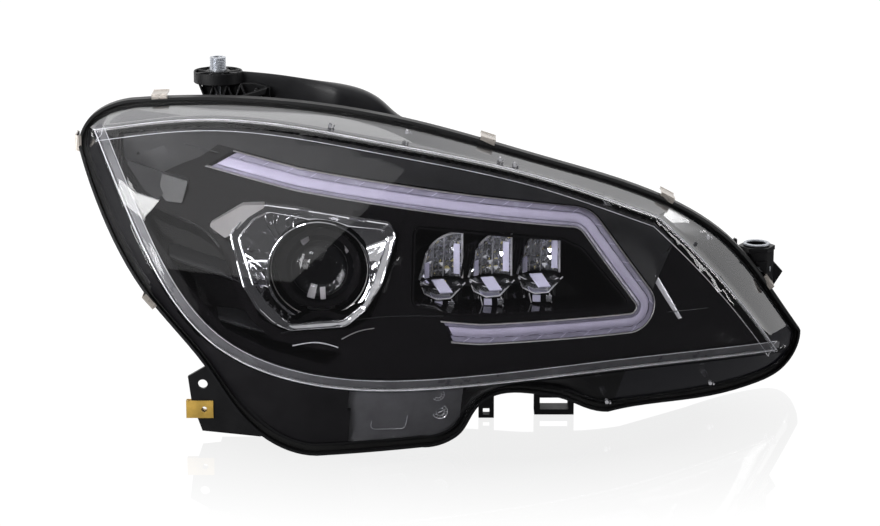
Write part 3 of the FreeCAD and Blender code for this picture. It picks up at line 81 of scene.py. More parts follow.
def finish_of(name, color, rough=0.4, metal=0.0, grain=0.0, grain_size=900.0, tone=0.18, **more):
    """A Principled finish whose colour and polish drift by tone over the surface; grain adds fine relief."""
    made = FINISHES[name] = bpy.data.materials.new(name)
    made.use_nodes = True
    tree = made.node_tree
    shader = tree.nodes["Principled BSDF"]
    set_sockets(tree, shader, dict(Base_Color=(*color, 1.0), Roughness=rough, Metallic=metal, **more))
    place = new_node(tree, "TexCoord").outputs["Object"]
    if tone:
        cloud = new_node(tree, "TexNoise", Vector=place, Scale=42.0, Detail=6.0, Roughness=0.62)
        cloud = cloud.outputs["Fac"]
        blend = new_node(tree, "ValToRGB", Fac=cloud)
        for stop, at, share in zip(blend.color_ramp.elements, (DRIFT_FROM, DRIFT_TO), (1 - tone, 1 + tone)):
            stop.position = at
            stop.color = (*(min(1.0, c * share) for c in color), 1.0)
        polish = new_node(tree, "MapRange", Value=cloud, From_Min=DRIFT_FROM, From_Max=DRIFT_TO,
                          To_Min=rough * (1 - 0.8 * tone), To_Max=min(1.0, rough * (1 + 1.2 * tone)))
        set_sockets(tree, shader, dict(Base_Color=blend.outputs[0], Roughness=polish.outputs[0]))
    if grain:
        noise = new_node(tree, "TexNoise", Vector=place, Scale=grain_size, Detail=3.0)
        bump = new_node(tree, "Bump", Height=noise.outputs["Fac"], Strength=grain, Distance=0.0004)
        set_sockets(tree, shader, dict(Normal=bump.outputs["Normal"]))
    return made


def clear_finish(name, color, ior=1.49, gloss=0.5):
    """Clear plastic or glass that lets light through to what lies behind it."""
    made = finish_of(name, color, 0.0, tone=0.0, Transmission_Weight=1.0, IOR=ior, Specular_IOR_Level=gloss)
    tree = made.node_tree
    shadow = new_node(tree, "LightPath").outputs["Is Shadow Ray"]
    through = new_node(tree, "BsdfTransparent", Color=(*color, 1.0))
    mixed(tree, shadow, tree.nodes["Principled BSDF"], through)
    return made


CLEAR = clear_finish("clear_lens", (0.97, 0.97, 0.98), gloss=0.2)
clear_finish("projector_glass", (0.95, 0.95, 0.97), ior=1.52)
PRISM = finish_of("lens_prism", (0.16, 0.16, 0.17), 0.3, 0.25, grain=0.15)
SIDE_FROST = finish_of("lens_side_ribs", (0.07, 0.07, 0.075), 0.4, grain=0.1)
BLACK = finish_of("black_plastic", (0.008, 0.008, 0.009), 0.45, grain=0.25, Specular_IOR_Level=0.3)
PAINTED = finish_of("lens_black_edge", (0.008, 0.0075, 0.009), 0.5, grain=0.15, Specular_IOR_Level=0.3)
finish_of("grey_plastic", (0.009, 0.009, 0.010), 0.42, grain=0.2, Specular_IOR_Level=0.35)
SMOKE = finish_of("smoked_liner", (0.15, 0.15, 0.16), 0.35, grain=0.1)
finish_of("white_plastic", (0.75, 0.74, 0.71), 0.4, grain=0.1)
DARK = finish_of("dark_trim", (0.014, 0.014, 0.0155), 0.38, grain=0.12)
FACET = finish_of("dark_facet", (0.019, 0.019, 0.021), 0.4, grain=0.12)
GLOSS = finish_of("gloss_black", (0.004, 0.0035, 0.0042), 0.06)
TAIL = finish_of("tail_liner", (0.006, 0.006, 0.008), 0.16, grain=0.25, grain_size=25.0)
CORE = finish_of("light_bar", (0.56, 0.52, 0.69), 0.35, grain=0.05, tone=0.06)
BAND = finish_of("light_bar_bands", (0.34, 0.32, 0.42), 0.25, grain=0.08)
CHROME = finish_of("chrome", (0.9, 0.9, 0.92), 0.04, 1.0, grain=0.35, grain_size=45.0, tone=0.04)
SATIN = finish_of("satin_silver", (0.62, 0.6, 0.6), 0.33, 0.75, grain=0.05, tone=0.08)
MIRROR = finish_of("mirror", (0.88, 0.89, 0.94), 0.04, 0.9, grain=0.06, grain_size=260.0, tone=0.04)
LILAC = finish_of("led_reflector_edge", (0.72, 0.7, 0.9), 0.25, 0.2, tone=0.08)
finish_of("cast_aluminium", (0.5, 0.5, 0.52), 0.45, 1.0, grain=0.4)
finish_of("steel", (0.55, 0.55, 0.56), 0.3, 1.0, grain=0.1)
SPRING = finish_of("spring_steel", (0.62, 0.57, 0.52), 0.28, 0.6, grain=0.15)
ZINC = finish_of("zinc", (0.5, 0.52, 0.56), 0.33, 0.65, grain=0.5, grain_size=420.0, tone=0.3)
finish_of("brass", (0.62, 0.42, 0.12), 0.35, 1.0, grain=0.2)
YELLOW = finish_of("speed_nut_yellow", (0.72, 0.46, 0.1), 0.36, 0.45, grain=0.2, tone=0.3)
RIBS = finish_of("black_plastic_ribs", (0.022, 0.022, 0.024), 0.32, grain=0.15)
COWL = finish_of("black_plastic_cowl", (0.016, 0.016, 0.018), 0.36, grain=0.3, Specular_IOR_Level=0.45)
# a near-black without any sheen that stands in for the shade inside the projector: painted shade, on the
# shroud's inside and on the bowl behind the glass
SHADE_BLACK = finish_of("projector_painted_shade", (0.0015, 0.0015, 0.002), 0.85, grain=0.1, Specular_IOR_Level=0.0)
# light grey for the crease tubes: painted highlight on the clear lens's edge
LENS_EDGE_HIGHLIGHT = finish_of("lens_edge_painted_highlight", (0.78, 0.78, 0.82), 0.25, grain=0.05)
# near-white that stands in for the gleam of chrome: painted highlight, on the blade, a bezel lip line and the
# LED module edges
PAINTED_GLEAM = finish_of("blade_painted_gleam", (0.86, 0.85, 0.9), 0.22, 0.25, grain=0.04, tone=0.08)
STUD = finish_of("lens_studs", (0.55, 0.55, 0.58), 0.15, 0.3, grain=0.1)
finish_of("rubber", (0.015, 0.015, 0.015), 0.65, grain=0.3)
finish_of("circuit_board", (0.03, 0.16, 0.08), 0.45, grain=0.1)
finish_of("emitter", (0.85, 0.72, 0.25), 0.35)


# ---- surfaces and outlines, in millimetres

def skin(x, z, depth=0.0):
    """Depth of the lens's front surface, moved back by depth."""
    return -142.0 + depth + 0.00083 * (x + 204.0) ** 2 + 0.0022 * (z - 75.0) ** 2


def rim(x, z, ahead=0.0):
    """Depth of the joint between lens and housing, moved forward by ahead."""
    return skin(x, z, 13.0 - ahead) + 0.05 * (x + 204.0) + 0.08 * z


def polar(centre, radius, angle):
    """The flat point at that distance and angle, in radians, from a centre."""
    return centre[0] + radius * math.cos(angle), centre[1] + radius * math.sin(angle)


def through(points, step=3.0):
    """A smooth run through points, as closely spaced points."""
    p = np.array(points, float)
    t = np.concatenate([[0.0], np.cumsum(np.hypot(*np.diff(p, axis=0).T))])
    h, n = np.diff(t), len(p)
    matrix, right = np.eye(n), np.zeros((n, 2))
    for i in range(1, n - 1):
        matrix[i, i - 1:i + 2] = h[i - 1], 2 * (h[i - 1] + h[i]), h[i]
        right[i] = 6 * ((p[i + 1] - p[i]) / h[i] - (p[i] - p[i - 1]) / h[i - 1])
    bend = np.linalg.solve(matrix, right)
    s = np.linspace(0, t[-1], max(2, round(t[-1] / step)) + 1)
    i = np.clip(np.searchsorted(t, s, "right") - 1, 0, n - 2)
    a, b, w = (t[i + 1] - s)[:, None], (s - t[i])[:, None], h[i][:, None]
    return (bend[i] * a ** 3 + bend[i + 1] * b ** 3) / (6 * w) + \
        (p[i] / w - bend[i] * w / 6) * a + (p[i + 1] / w - bend[i + 1] * w / 6) * b


def arc(start, middle, end, count=60):
    """A run along the circle through three points."""
    a, b, c = (complex(*p) for p in (start, middle, end))
    w = (c - a) / (b - a)
    centre = (b - a) * (w - abs(w) ** 2) / (2j * w.imag) + a
    first, turn = a - centre, np.angle((c - centre) / (a - centre))
    points = centre + first * np.exp(1j * turn * np.linspace(0, 1, count))
    return np.stack([points.real, points.imag], 1)


def joined_loop(*runs):
    """Runs end to end as one closed loop, without the repeated points."""
    return np.concatenate([np.array(run, float)[:-1] for run in runs])


def rounded(corners, radii, closed=True):
    """Straight runs with an arc at each corner."""
    p = np.array(corners, float)
    n = len(p)
    radii = radii if isinstance(radii, list) else [radii] * n
    out = []
    for i in range(n):
        if radii[i] <= 0 or (not closed and i in (0, n - 1)):
            out.append(p[i])
            continue
        before, after = p[i - 1] - p[i], p[(i + 1) % n] - p[i]
        before, after = before / np.hypot(*before), after / np.hypot(*after)
        half = math.acos(np.clip(before @ after, -1, 1)) / 2
        reach = radii[i] / math.tan(half)
        centre = p[i] + (before + after) / np.hypot(*(before + after)) * radii[i] / math.sin(half)
        start, end = p[i] + before * reach, p[i] + after * reach
        a0 = math.atan2(*(start - centre)[::-1])
        turn = (math.atan2(*(end - centre)[::-1]) - a0 + math.pi) % (2 * math.pi) - math.pi
        for s in np.linspace(0, 1, max(3, round(abs(turn) * radii[i] / 1.5) + 1)):
            out.append(polar(centre, radii[i], a0 + turn * s))
    return np.array(out)


def spaced(points, count, closed=False):
    """count points, evenly spaced along a loop or a run."""
    p = np.concatenate([points, points[:1]]) if closed else np.array(points, float)
    t = np.concatenate([[0.0], np.cumsum(np.hypot(*np.diff(p, axis=0).T))])
    s = np.linspace(0, t[-1], count + 1)[:-1] if closed else np.linspace(0, t[-1], count)
    return np.stack([np.interp(s, t, p[:, k]) for k in (0, 1)], 1)


def side_of(points, closed=False):
    """Unit vectors to the right of travel."""
    if closed:
        run = np.roll(points, -1, 0) - np.roll(points, 1, 0)
    else:
        run = np.gradient(points, axis=0)
    run = run / np.maximum(np.hypot(*run.T), 1e-9)[:, None]
    return np.stack([run[:, 1], -run[:, 0]], 1)


def outward(loop):
    """Unit vectors that point out of a loop, whichever way round it runs."""
    x, z = loop.T
    return side_of(loop, closed=True) * (1.0 if np.sum(x * np.roll(z, -1) - np.roll(x, -1) * z) > 0 else -1.0)


def inset(loop, distance):
    """The loop moved inwards. Its points keep their order and number."""
    return loop - outward(loop) * distance


def inside(points, loop):
    """For each point, whether it lies in the loop."""
    x, z = points[:, 0][:, None], points[:, 1][:, None]
    ax, az = loop.T
    bx, bz = np.roll(ax, -1), np.roll(az, -1)
    crossing = ((az > z) != (bz > z)) & (x < (bx - ax) * (z - az) / np.where(bz == az, 1e-9, bz - az) + ax)
    return crossing.sum(1) % 2 == 1


def parted(loop, marks, counts):
    """The loop re-spaced so that it passes each mark after the same number of points as its partner does."""
    found = [int(np.argmin(np.hypot(*(loop - np.array(mark)).T))) for mark in marks]
    pieces = []
    for k, count in enumerate(counts):
        a, b = found[k], found[(k + 1) % len(found)]
        run = loop[a:b + 1] if b > a else np.concatenate([loop[a:], loop[:b + 1]])
        pieces.append(spaced(run, count + 1)[:-1])
    return np.concatenate(pieces)


# ---- meshes

class Shape:
    """Points and faces in millimetres, gathered up and made into one piece. Its methods return the shape."""

    def __init__(self):
        self.points, self.faces = [], []

    def add(self, points):
        start = len(self.points)
        self.points += [tuple(float(v) for v in p) for p in points]
        return list(range(start, len(self.points)))

    def rows(self, rows, closed=True, ends=False):
        """A surface through rows of points; closed joins up each row, and ends fills the first and last."""
        ids = [self.add(row) for row in rows]
        for a, b in zip(ids, ids[1:]):
            n = len(a)
            for i in range(n if closed else n - 1):
                j = (i + 1) % n
                self.faces.append((a[i], a[j], b[j], b[i]))
        if ends:
            self.faces += [tuple(ids[0]), tuple(ids[-1][::-1])]
        return self

    def sheet(self, outline, holes, lift, spacing=8.0):
        """A triangulated sheet inside a flat outline, lifted to (x, depth, z) by lift."""
        points, triangles = filled(outline, holes, spacing)
        ids = self.add([(x, lift(x, z), z) for x, z in points])
        self.faces += [tuple(ids[i] for i in t) for t in triangles]
        return self

    def tube(self, path, radius, sides=8, ends=True):
        """A round bar along a path of 3-D points."""
        path = [Vector(p) for p in path]
        rows, up = [], Vector((0, 0, 1))
        for i, point in enumerate(path):
            run = (path[min(i + 1, len(path) - 1)] - path[max(i - 1, 0)]).normalized()
            first = run.cross(up if abs(run.dot(up)) < 0.9 else Vector((1, 0, 0))).normalized()
            second = run.cross(first)
            rows.append([point + (first * math.cos(a) + second * math.sin(a)) * radius
                         for a in np.linspace(0, 2 * math.pi, sides, endpoint=False)])
        return self.rows(rows, ends=ends)

    def slab(self, outline, low, high, plane="xz"):
        """A straight-walled plate: an outline (u, v) carried along the remaining axis."""
        def put(u, v, w):
            return (u, w, v) if plane == "xz" else (u, v, w)
        return self.rows([[put(u, v, w) for u, v in outline] for w in (low, high)], ends=True)

    def turned(self, profile, centre, axis="y", count=96, closed=False):
        """A profile of (radius, place along the axis) turned about an axis through centre."""
        angles = np.linspace(0, 2 * math.pi, count, endpoint=False)
        rows = []
        for radius, along in profile:
            flat = [polar(centre, radius, a) for a in angles]
            rows.append([(u, along, v) if axis == "y" else (u, v, along) for u, v in flat])
        return self.rows(rows + rows[:1] if closed else rows)

    def made(self, name, finish, slot, replaces=(), body="casing", smooth=35.0, bevel=0.0):
        """The gathered mesh as a piece on a body, standing in for the CAD nodes it replaces."""
        mesh = bpy.data.meshes.new(name)
        mesh.from_pydata([(x * MM, y * MM, z * MM) for x, y, z in self.points], [], self.faces)
        work = bmesh.new()
        work.from_mesh(mesh)
        bmesh.ops.remove_doubles(work, verts=work.verts, dist=WELD)
        bmesh.ops.recalc_face_normals(work, faces=work.faces)
        work.to_mesh(mesh)
        work.free()
        piece = bpy.data.objects.new(name, mesh)
        bpy.context.scene.collection.objects.link(piece)
        mesh.materials.append(finish)
        if bevel:
            soft = piece.modifiers.new("soft edges", "BEVEL")
            soft.width = bevel * MM
            soft.segments = 2
            soft.limit_method = "ANGLE"
            soft.angle_limit = math.radians(40)
        mesh.shade_smooth()
        mesh.set_sharp_from_angle(angle=math.radians(smooth))
        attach(piece, body)
        if replaces:
            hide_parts(*replaces)
        return piece


def within(points, outline, holes):
    """For each point, whether it lies in the outline and in none of the holes."""
    keep = inside(points, outline)
    for hole in holes:
        keep &= ~inside(points, hole)
    return keep


def filled(outline, holes, spacing):
    """Triangles over the inside of an outline, as flat points and index triples."""
    loops = [outline, *holes]
    edge_points = np.concatenate(loops)
    edges, start = [], 0
    for loop in loops:
        n = len(loop)
        edges += [(start + i, start + (i + 1) % n) for i in range(n)]
        start += n
    low, high = outline.min(0), outline.max(0)
    xs, zs = (np.arange(low[k] + spacing / 2, high[k], spacing) for k in (0, 1))
    grid = np.array([(x + (spacing / 2 if j % 2 else 0), z) for j, z in enumerate(zs) for x in xs])
    grid = grid[within(grid, outline, holes)]
    if len(grid):
        near = np.array([np.hypot(*(edge_points - g).T).min() for g in grid])
        grid = grid[near > spacing * 0.45]
    points = [Vector(p) for p in np.concatenate([edge_points, grid])]
    got = geometry.delaunay_2d_cdt(points, edges, [], 0, 1e-5)
    flat = np.array([tuple(v) for v in got[0]])
    triangles = [t for t in got[2] if len(t) == 3]
    middles = np.array([flat[list(t)].mean(0) for t in triangles])
    return flat, [t for t, keep in zip(triangles, within(middles, outline, holes)) if keep]


def on_skin(points, depth):
    """Flat points as 3-D points at that depth behind the skin; depth is a number or one per point."""
    depths = np.broadcast_to(np.asarray(depth, float), (len(points),))
    return [(x, skin(x, z, d), z) for (x, z), d in zip(points, depths)]


def on_rim(points, ahead):
    """Flat points as 3-D points, moved forward by ahead from the joint between lens and housing."""
    return [(x, rim(x, z, ahead), z) for x, z in points]


def facing(centre, radius, angle, y):
    """The 3-D point at that distance and angle from a centre, in a plane that faces the front."""
    x, z = polar(centre, radius, angle)
    return x, y, z


def bar(start, end, half, half_end=None):
    """The corners of a flat strip from start to end, given half its width at each end."""
    start, end = np.array(start, float), np.array(end, float)
    run = (end - start) / np.hypot(*(end - start))
    side = np.array([-run[1], run[0]])
    half_end = half if half_end is None else half_end
    return [start + side * half, end + side * half_end, end - side * half_end, start - side * half]


# ---- outlines

CREASE_LOW = through([(303, 40), (150, 54), (0, 57), (-122, 68), (-207, 105), (-288, 221), (-317, 275)])
CREASE = joined_loop(
    through([(-317, 275), (-219, 285), (-65, 265), (77, 229), (184, 185)]),
    arc((184, 185), (246, 119), (303, 40)),
    CREASE_LOW,
)
RIM = joined_loop(
    through([(-329, 258), (-325, 276), (-308, 289), (-281, 295)]),
    through([(-281, 295), (-232, 297), (-38, 273.5), (79, 237), (188, 194), (258, 145), (298, 94),
             (330, 46)]),
    through([(330, 46), (327, 30), (312, 12), (283, 4), (236, 3), (139, 9)]),
    through([(139, 9), (118, 17), (98, 29), (71, 38.5), (48, 43), (32, 41), (21, 34), (14, 24), (6, 11),
             (-4, 4), (-29, 0.5)], 2.0),
    [(-29, 0.5), (-60, 0.5), (-90, 0.5), (-120, 0.5)],
    through([(-120, 0.5), (-142, 6), (-155, 13), (-190, 48), (-213, 84), (-266, 146), (-309, 214),
             (-329, 258)]),
)
FRAME_WINDOW = rounded(
    [(-212, 199), (-178, 215), (-158, 214), (-58, 197), (-49, 188), (-51, 172), (-74, 120), (-90, 113),
     (-146, 112), (-168, 124), (-192, 184)],
    [3, 8, 8, 5, 4, 10, 8, 8, 10, 10, 4],
)
LED_WINDOW = rounded([(-36, 194), (96, 173), (114, 163), (160, 106), (0, 117), (-38, 128)],
                     [6, 8, 10, 5, 6, 8])
BAR_PATH = rounded(
    [(-205, 251), (-135, 233.5), (5, 207.5), (116, 188), (186, 90), (22, 99), (-8, 104)],
    [0, 80, 80, 24, 14, 80, 0], closed=False,
)

PAINTED_FROM, PAINTED_TO = -260, -92  # the part of the lens below its crease that is painted black

# places that stand opposite one another on the lens's crease and on its rim
CREASE_MARKS = [(-317, 275), (-65, 265), (184, 185), (303, 40), (150, 54), (62, 54), (8, 57), (-30, 59),
                (-122, 68), (-207, 105), (-288, 221)]
RIM_MARKS = [(-325, 276), (-58, 277), (206, 184), (328, 32), (139, 9), (48, 43), (8, 15), (-29, 0.5),
             (-128, 2), (-213, 84), (-309, 214)]
COUNTS = [90, 90, 66, 52, 34, 24, 16, 34, 36, 50, 22]
EDGE_FRONT = parted(CREASE, CREASE_MARKS, COUNTS)
EDGE_BACK = parted(RIM, RIM_MARKS, COUNTS)


def wall_rows(front, back, front_depth, ahead):
    """Rows of the lens's side wall, from a loop on the skin to one near the joint, slightly bulged."""
    y_front, y_back = skin(*front.T, front_depth), rim(*back.T, ahead)
    rows = []
    for t in np.linspace(0, 1, 7):
        flat = front * (1 - t) + back * t
        depth = y_front * (1 - t) + y_back * t - 1.5 * math.sin(math.pi * t)
        rows.append([(x, y, z) for (x, z), y in zip(flat, depth)])
    return rows


# ---- lens

def lens():
    shell, below = 2.5, -7.0
    foot, inner_foot = inset(EDGE_BACK, 3.0), inset(EDGE_BACK, 5.6)
    shape = Shape()
    shape.sheet(inset(EDGE_FRONT, 2.6), [], lambda x, z: skin(x, z), 9.0)
    rounding = [(2.6, 0.0), (1.7, 0.12), (0.9, 0.45), (0.35, 1.0), (0.05, 1.8)]
    outer = [on_skin(inset(EDGE_FRONT, i), d) for i, d in rounding]
    outer += wall_rows(EDGE_FRONT, foot, 3.0, 3.0) + [on_rim(foot, below)]
    inner = [on_rim(inner_foot, below)] + wall_rows(inset(EDGE_FRONT, 2.6), inner_foot, 4.2, 2.0)[::-1]
    inner += [on_skin(inset(EDGE_FRONT, 3.4), 2.9), on_skin(inset(EDGE_FRONT, 4.6), shell)]
    shape.rows(outer + inner)
    shape.sheet(inset(EDGE_FRONT, 4.6), [], lambda x, z: skin(x, z, shell), 9.0)
    piece = shape.made("lens_shell", CLEAR, "clear_lens", ["outer_lens"], smooth=60)
    piece.data.materials.append(PAINTED)
    for face in piece.data.polygons:
        x, _, z = face.center / MM
        if PAINTED_FROM < x < PAINTED_TO and z < np.interp(x, *CREASE_LOW[::-1].T) - 1.5:
            face.material_index = 1


lens()


def flute_band():
    """A cross-hatched band of small prisms inside the lower part of the crease."""
    start, width, pitch, height = 3.4, 6.0, 1.9, 0.9
    run = np.concatenate([EDGE_FRONT[sum(COUNTS[:3]):], EDGE_FRONT[:1]])
    length = np.hypot(*np.diff(run, axis=0).T).sum()
    run = spaced(run, int(length / pitch))
    steps = 2 * round(width / pitch * 1.2)
    rows = []
    for j in range(steps + 1):
        flat = run + side_of(run) * (start + width * j / steps)
        rows.append(on_skin(flat, 3.3 + np.array([height * ((i + j) % 2) for i in range(len(run))])))
    Shape().rows(rows, closed=False).made("lens_flutes_low", PRISM, "clear_lens", smooth=20)


flute_band()


# ---- bezel

BAR_HALF, FIRST_SLANT, LAST_SLANT = 8.5, 10.0, 6.0  # half the light bar's width, and the slants of its ends


def bar_run(count):
    """Points along the light bar, with unit vectors to the right of travel and along it."""
    path = spaced(BAR_PATH, count)
    side = side_of(path)
    return path, side, np.stack([-side[:, 1], side[:, 0]], 1)


def bar_loop(half):
    """The light bar's outline at half its width, with its slanting ends."""
    path, side, run = bar_run(220)
    left, right = path - side * half, path + side * half
    first, last = run[0] * FIRST_SLANT * half / BAR_HALF, run[-1] * LAST_SLANT * half / BAR_HALF
    return np.concatenate([[left[0] + first], left[4:-3], [left[-1] - last],
                           [right[-1] + last], right[-4:3:-1], [right[0] - first]])


LOUVRE = rounded(
    [(-280, 222), (-262, 214), (-233, 203), (-210, 190), (-201, 182), (-190, 152), (-177, 124), (-157, 106),
     (-122, 97), (-96, 92), (-110, 83), (-158, 98), (-197, 117), (-228, 151), (-255, 187), (-276, 216)],
    [1, 4, 4, 4, 4, 4, 6, 8, 4, 2, 2, 8, 10, 8, 8, 1],
)
BEZEL_GAP = 9.0
BEZEL_EDGE = inset(CREASE, BEZEL_GAP)
# without the points that crossed over at its corners
BEZEL_EDGE = BEZEL_EDGE[[np.hypot(*(CREASE - p).T).min() > BEZEL_GAP - 0.12 for p in BEZEL_EDGE]]


def bezel_depth(x, z):
    """How far the bezel lies behind the skin: it dips away from the crease and dishes under the bar."""
    near = np.hypot(CREASE[:, 0] - x, CREASE[:, 1] - z).min()
    t = min(max((near - 8.0) / 26.0, 0.0), 1.0)
    return 13.0 + 8.0 * t * t * (3 - 2 * t)


def on_bezel(points, proud=0.0):
    return [(x, skin(x, z, bezel_depth(x, z) - proud), z) for x, z in points]


shape = Shape()
holes = [inset(FRAME_WINDOW, -0.4), inset(LED_WINDOW, -0.3), bar_loop(9.2), LOUVRE]
shape.sheet(BEZEL_EDGE, holes, lambda x, z: skin(x, z, bezel_depth(x, z)), 6.0)
for hole, back in zip(holes, (36.0, 28.0, 30.0, 50.0)):
    shape.rows([on_bezel(hole), on_skin(hole, back)])
shape.rows([on_bezel(BEZEL_EDGE), on_rim(BEZEL_EDGE, -6.0)])
shape.made("bezel_panel", GLOSS, "gloss_black", ["inner_bezel"], smooth=30)


recess = Shape().sheet(inset(LOUVRE, -1.0), [], lambda x, z: skin(x, z, 49.0))
recess.made("louvre_recess", GLOSS, "gloss_black")


def fin(name, path, rise=7.0):
    """A louvre blade: its nose follows the path and its top slopes up towards the back."""
    run = through(path, 3.0)
    up = -side_of(run)
    if up[0][1] < 0:
        up = -up
    near, far = 21.0, 46.0
    rows = []
    for t, here, out in zip(np.linspace(0, 1, len(run)), run, up):
        top = rise * min(1.0, 0.25 + 4 * t)
        section = [(-1.3, near + 1.6), (-0.6, near + 0.3), (0.4, near), (1.2, near + 0.8),
                   (0.5 * top, (near + far) / 2), (top, far), (-3.0, far)]
        rows.append([(here[0] + out[0] * n, skin(*here, d), here[1] + out[1] * n) for n, d in section])
    Shape().rows(rows, ends=True).made(name, DARK, "dark_trim", smooth=40)


fin("louvre_fin_1", [(-286, 225), (-264, 215), (-233, 203), (-209, 189), (-203, 182)], rise=8.0)
fin("louvre_fin_2", [(-256, 177), (-220, 165.5), (-190, 155.5), (-180, 151)])
fin("louvre_fin_3", [(-216, 127), (-176, 115), (-140, 107), (-110, 100), (-94, 94)])
# small chrome tubes at the blades' outboard ends: painted glints that stand in for the light caught by the
# fin tips
GLINT_TIPS = [(-283, 219, 16), (-256, 172, 9), (-214, 121, 9)]
for number, (x, z, length) in enumerate(GLINT_TIPS, start=1):
    shape = Shape()
    shape.tube([(x + 0.28 * s, skin(x, z, 17.5 + 0.1 * s), z - s) for s in np.linspace(0, length, 5)], 0.8, 6)
    shape.made(f"louvre_painted_glint_{number}", CHROME, "chrome")


def plate_on_skin(name, outline, near, tilt, finish, slot, radius=1.5):
    """A thin facet standing on the bezel; tilt is its lean per millimetre along x and z."""
    loop = rounded(outline, radius)
    middle = loop.mean(0)

    def lift(x, z):
        return skin(*middle, near) + tilt[0] * (x - middle[0]) + tilt[1] * (z - middle[1])
    shape = Shape()
    shape.sheet(loop, [], lift, 5.0)
    shape.rows([[(x, lift(x, z), z) for x, z in loop], on_skin(loop, 24.0)])
    shape.made(name, finish, slot, smooth=20)


FACETS = [
    ([(-281, 262), (-262, 270), (-247, 254), (-281, 256)], (-0.10, 0.55), FACET),
    ([(-287, 251), (-256, 241), (-236, 236), (-262, 216), (-270, 228)], (0.10, 0.62), FACET),
    ([(-254, 240), (-231, 235), (-236, 217), (-258, 218)], (-0.30, 0.40), DARK),
]
for number, (corners, tilt, finish) in enumerate(FACETS, start=1):
    plate_on_skin(f"bezel_facet_{number}", corners, 17.0, tilt, finish, "dark_trim")


# the satin panel over the light bar, a little proud of the gloss bezel
proud = 0.6
path, side, _ = bar_run(220)
line = np.concatenate([[(-278, 240), (-262, 236), (-240, 246), (-222, 252), (-206, 262)],
                       (path - side * 10.5)[:150]])
x, z = BEZEL_EDGE.T
above = BEZEL_EDGE[(z > np.interp(x, *line.T) + 1.5) & (x < line[-1][0] + 20) & (z > 150)]
loop = np.concatenate([above[np.argsort(above[:, 0])], line[::-1]])
shape = Shape()
shape.sheet(loop, [], lambda x, z: skin(x, z, bezel_depth(x, z) - proud), 6.0)
shape.rows([on_bezel(loop, proud), on_skin(loop, 24.0)])
shape.made("bezel_upper_panel", DARK, "dark_trim", smooth=30)


def line_on_skin(name, path, depth, radius, finish, slot):
    Shape().tube(on_skin(through(path, 4.0), depth), radius, 6).made(name, finish, slot)


line_on_skin("panel_line_upper", [(-266, 271), (-233, 262), (-206, 256)], 16.8, 0.35, FACET, "dark_trim")
line_on_skin("panel_line_middle", [(-150, 111), (-60, 121), (-10, 118)], 20.2, 0.4, FACET, "dark_trim")
# a bright tube and a silver tube on the bezel's lower lip: painted highlights where the gloss step catches
# the light
line_on_skin("panel_painted_gleam_1", [(-140, 100), (-118, 102), (-101, 97)], 19.6, 0.5, PAINTED_GLEAM, "chrome")
line_on_skin("panel_painted_gleam_2", [(-98, 104), (-84, 110), (-70, 112)], 19.6, 0.35, SATIN, "chrome")
line_on_skin("panel_line_tail", [(193, 96), (230, 93), (269, 90)], 20.0, 0.4, FACET, "dark_trim")


# ---- light bar

def bar_sweep(name, section, finish, slot, replaces=(), trim=(0.0, 0.0)):
    """A section of (across, depth) carried along the light bar, less a trim at each end, as a solid."""
    path, side, run = bar_run(260)
    along = np.concatenate([[0.0], np.cumsum(np.hypot(*np.diff(path, axis=0).T))])
    keep = (along >= trim[0]) & (along <= along[-1] - trim[1])
    path, side, run, along = path[keep], side[keep], run[keep], along[keep]
    rows = []
    for here, out, ahead, gone in zip(path, side, run, along):
        slant = LAST_SLANT * max(0.0, 1 - (along[-1] - gone) / 16)
        slant -= FIRST_SLANT * max(0.0, 1 - (gone - along[0]) / 22)
        flat = [(here + out * u + ahead * slant * u / BAR_HALF, d) for u, d in section]
        rows.append([(x, skin(x, z, d), z) for (x, z), d in flat])
    Shape().rows(rows, ends=True).made(name, finish, slot, replaces)


BAR_LAYERS = [
    ("light_core", [(-2.7, 25), (-2.7, 20.6), (-1.6, 19.7), (1.0, 19.3), (3.5, 19.7), (4.6, 20.6), (4.6, 25)],
     CORE, "light_bar", ["drl_light_guide"], (4.5, 2.5)),
    ("light_band_outer", [(-7.7, 25), (-7.7, 20.9), (-7.2, 20.3), (-3.7, 20.7), (-3.3, 21.2), (-3.3, 25)],
     BAND, "light_bar", ["drl_light_bar"], (3.0, 1.5)),
    ("light_band_inner", [(5.1, 25), (5.1, 21.2), (5.6, 20.8), (7.3, 20.4), (7.7, 21.0), (7.7, 25)],
     BAND, "light_bar", (), (3.0, 1.5)),
    ("light_rim_outer", [(-9.0, 26), (-9.0, 19.3), (-8.6, 18.8), (-8.2, 19.3), (-8.2, 26)], SATIN, "chrome"),
    ("light_rim_inner", [(8.1, 26), (8.1, 19.4), (8.5, 18.9), (8.9, 19.4), (8.9, 26)], SATIN, "chrome"),
    ("light_floor", [(-9.0, 27), (-9.0, 24), (9.0, 24), (9.0, 27)], GLOSS, "gloss_black",
     ["drl_tray", "drl_led_boards"]),
]
for layer in BAR_LAYERS:
    bar_sweep(*layer)


# short slanting ribs across the light bar's outer band, and a dash row beside its core
path, side, run = bar_run(260)
shape = Shape()
for i in range(8, 254, 9):
    a = path[i] - side[i] * 7.3 + run[i] * 2.5
    b = path[i] - side[i] * 3.6 - run[i] * 2.5
    shape.tube([(a[0], skin(*a, 20.1), a[1]), (b[0], skin(*b, 20.4), b[1])], 0.35, 6)
for i in range(6, 254, 3):
    if i % 9:
        shape.tube(on_skin([path[k] - side[k] * 2.9 for k in (i, i + 2)], 20.3), 0.3, 5)
shape.made("light_ticks", CORE, "light_bar")


# ---- projector surround

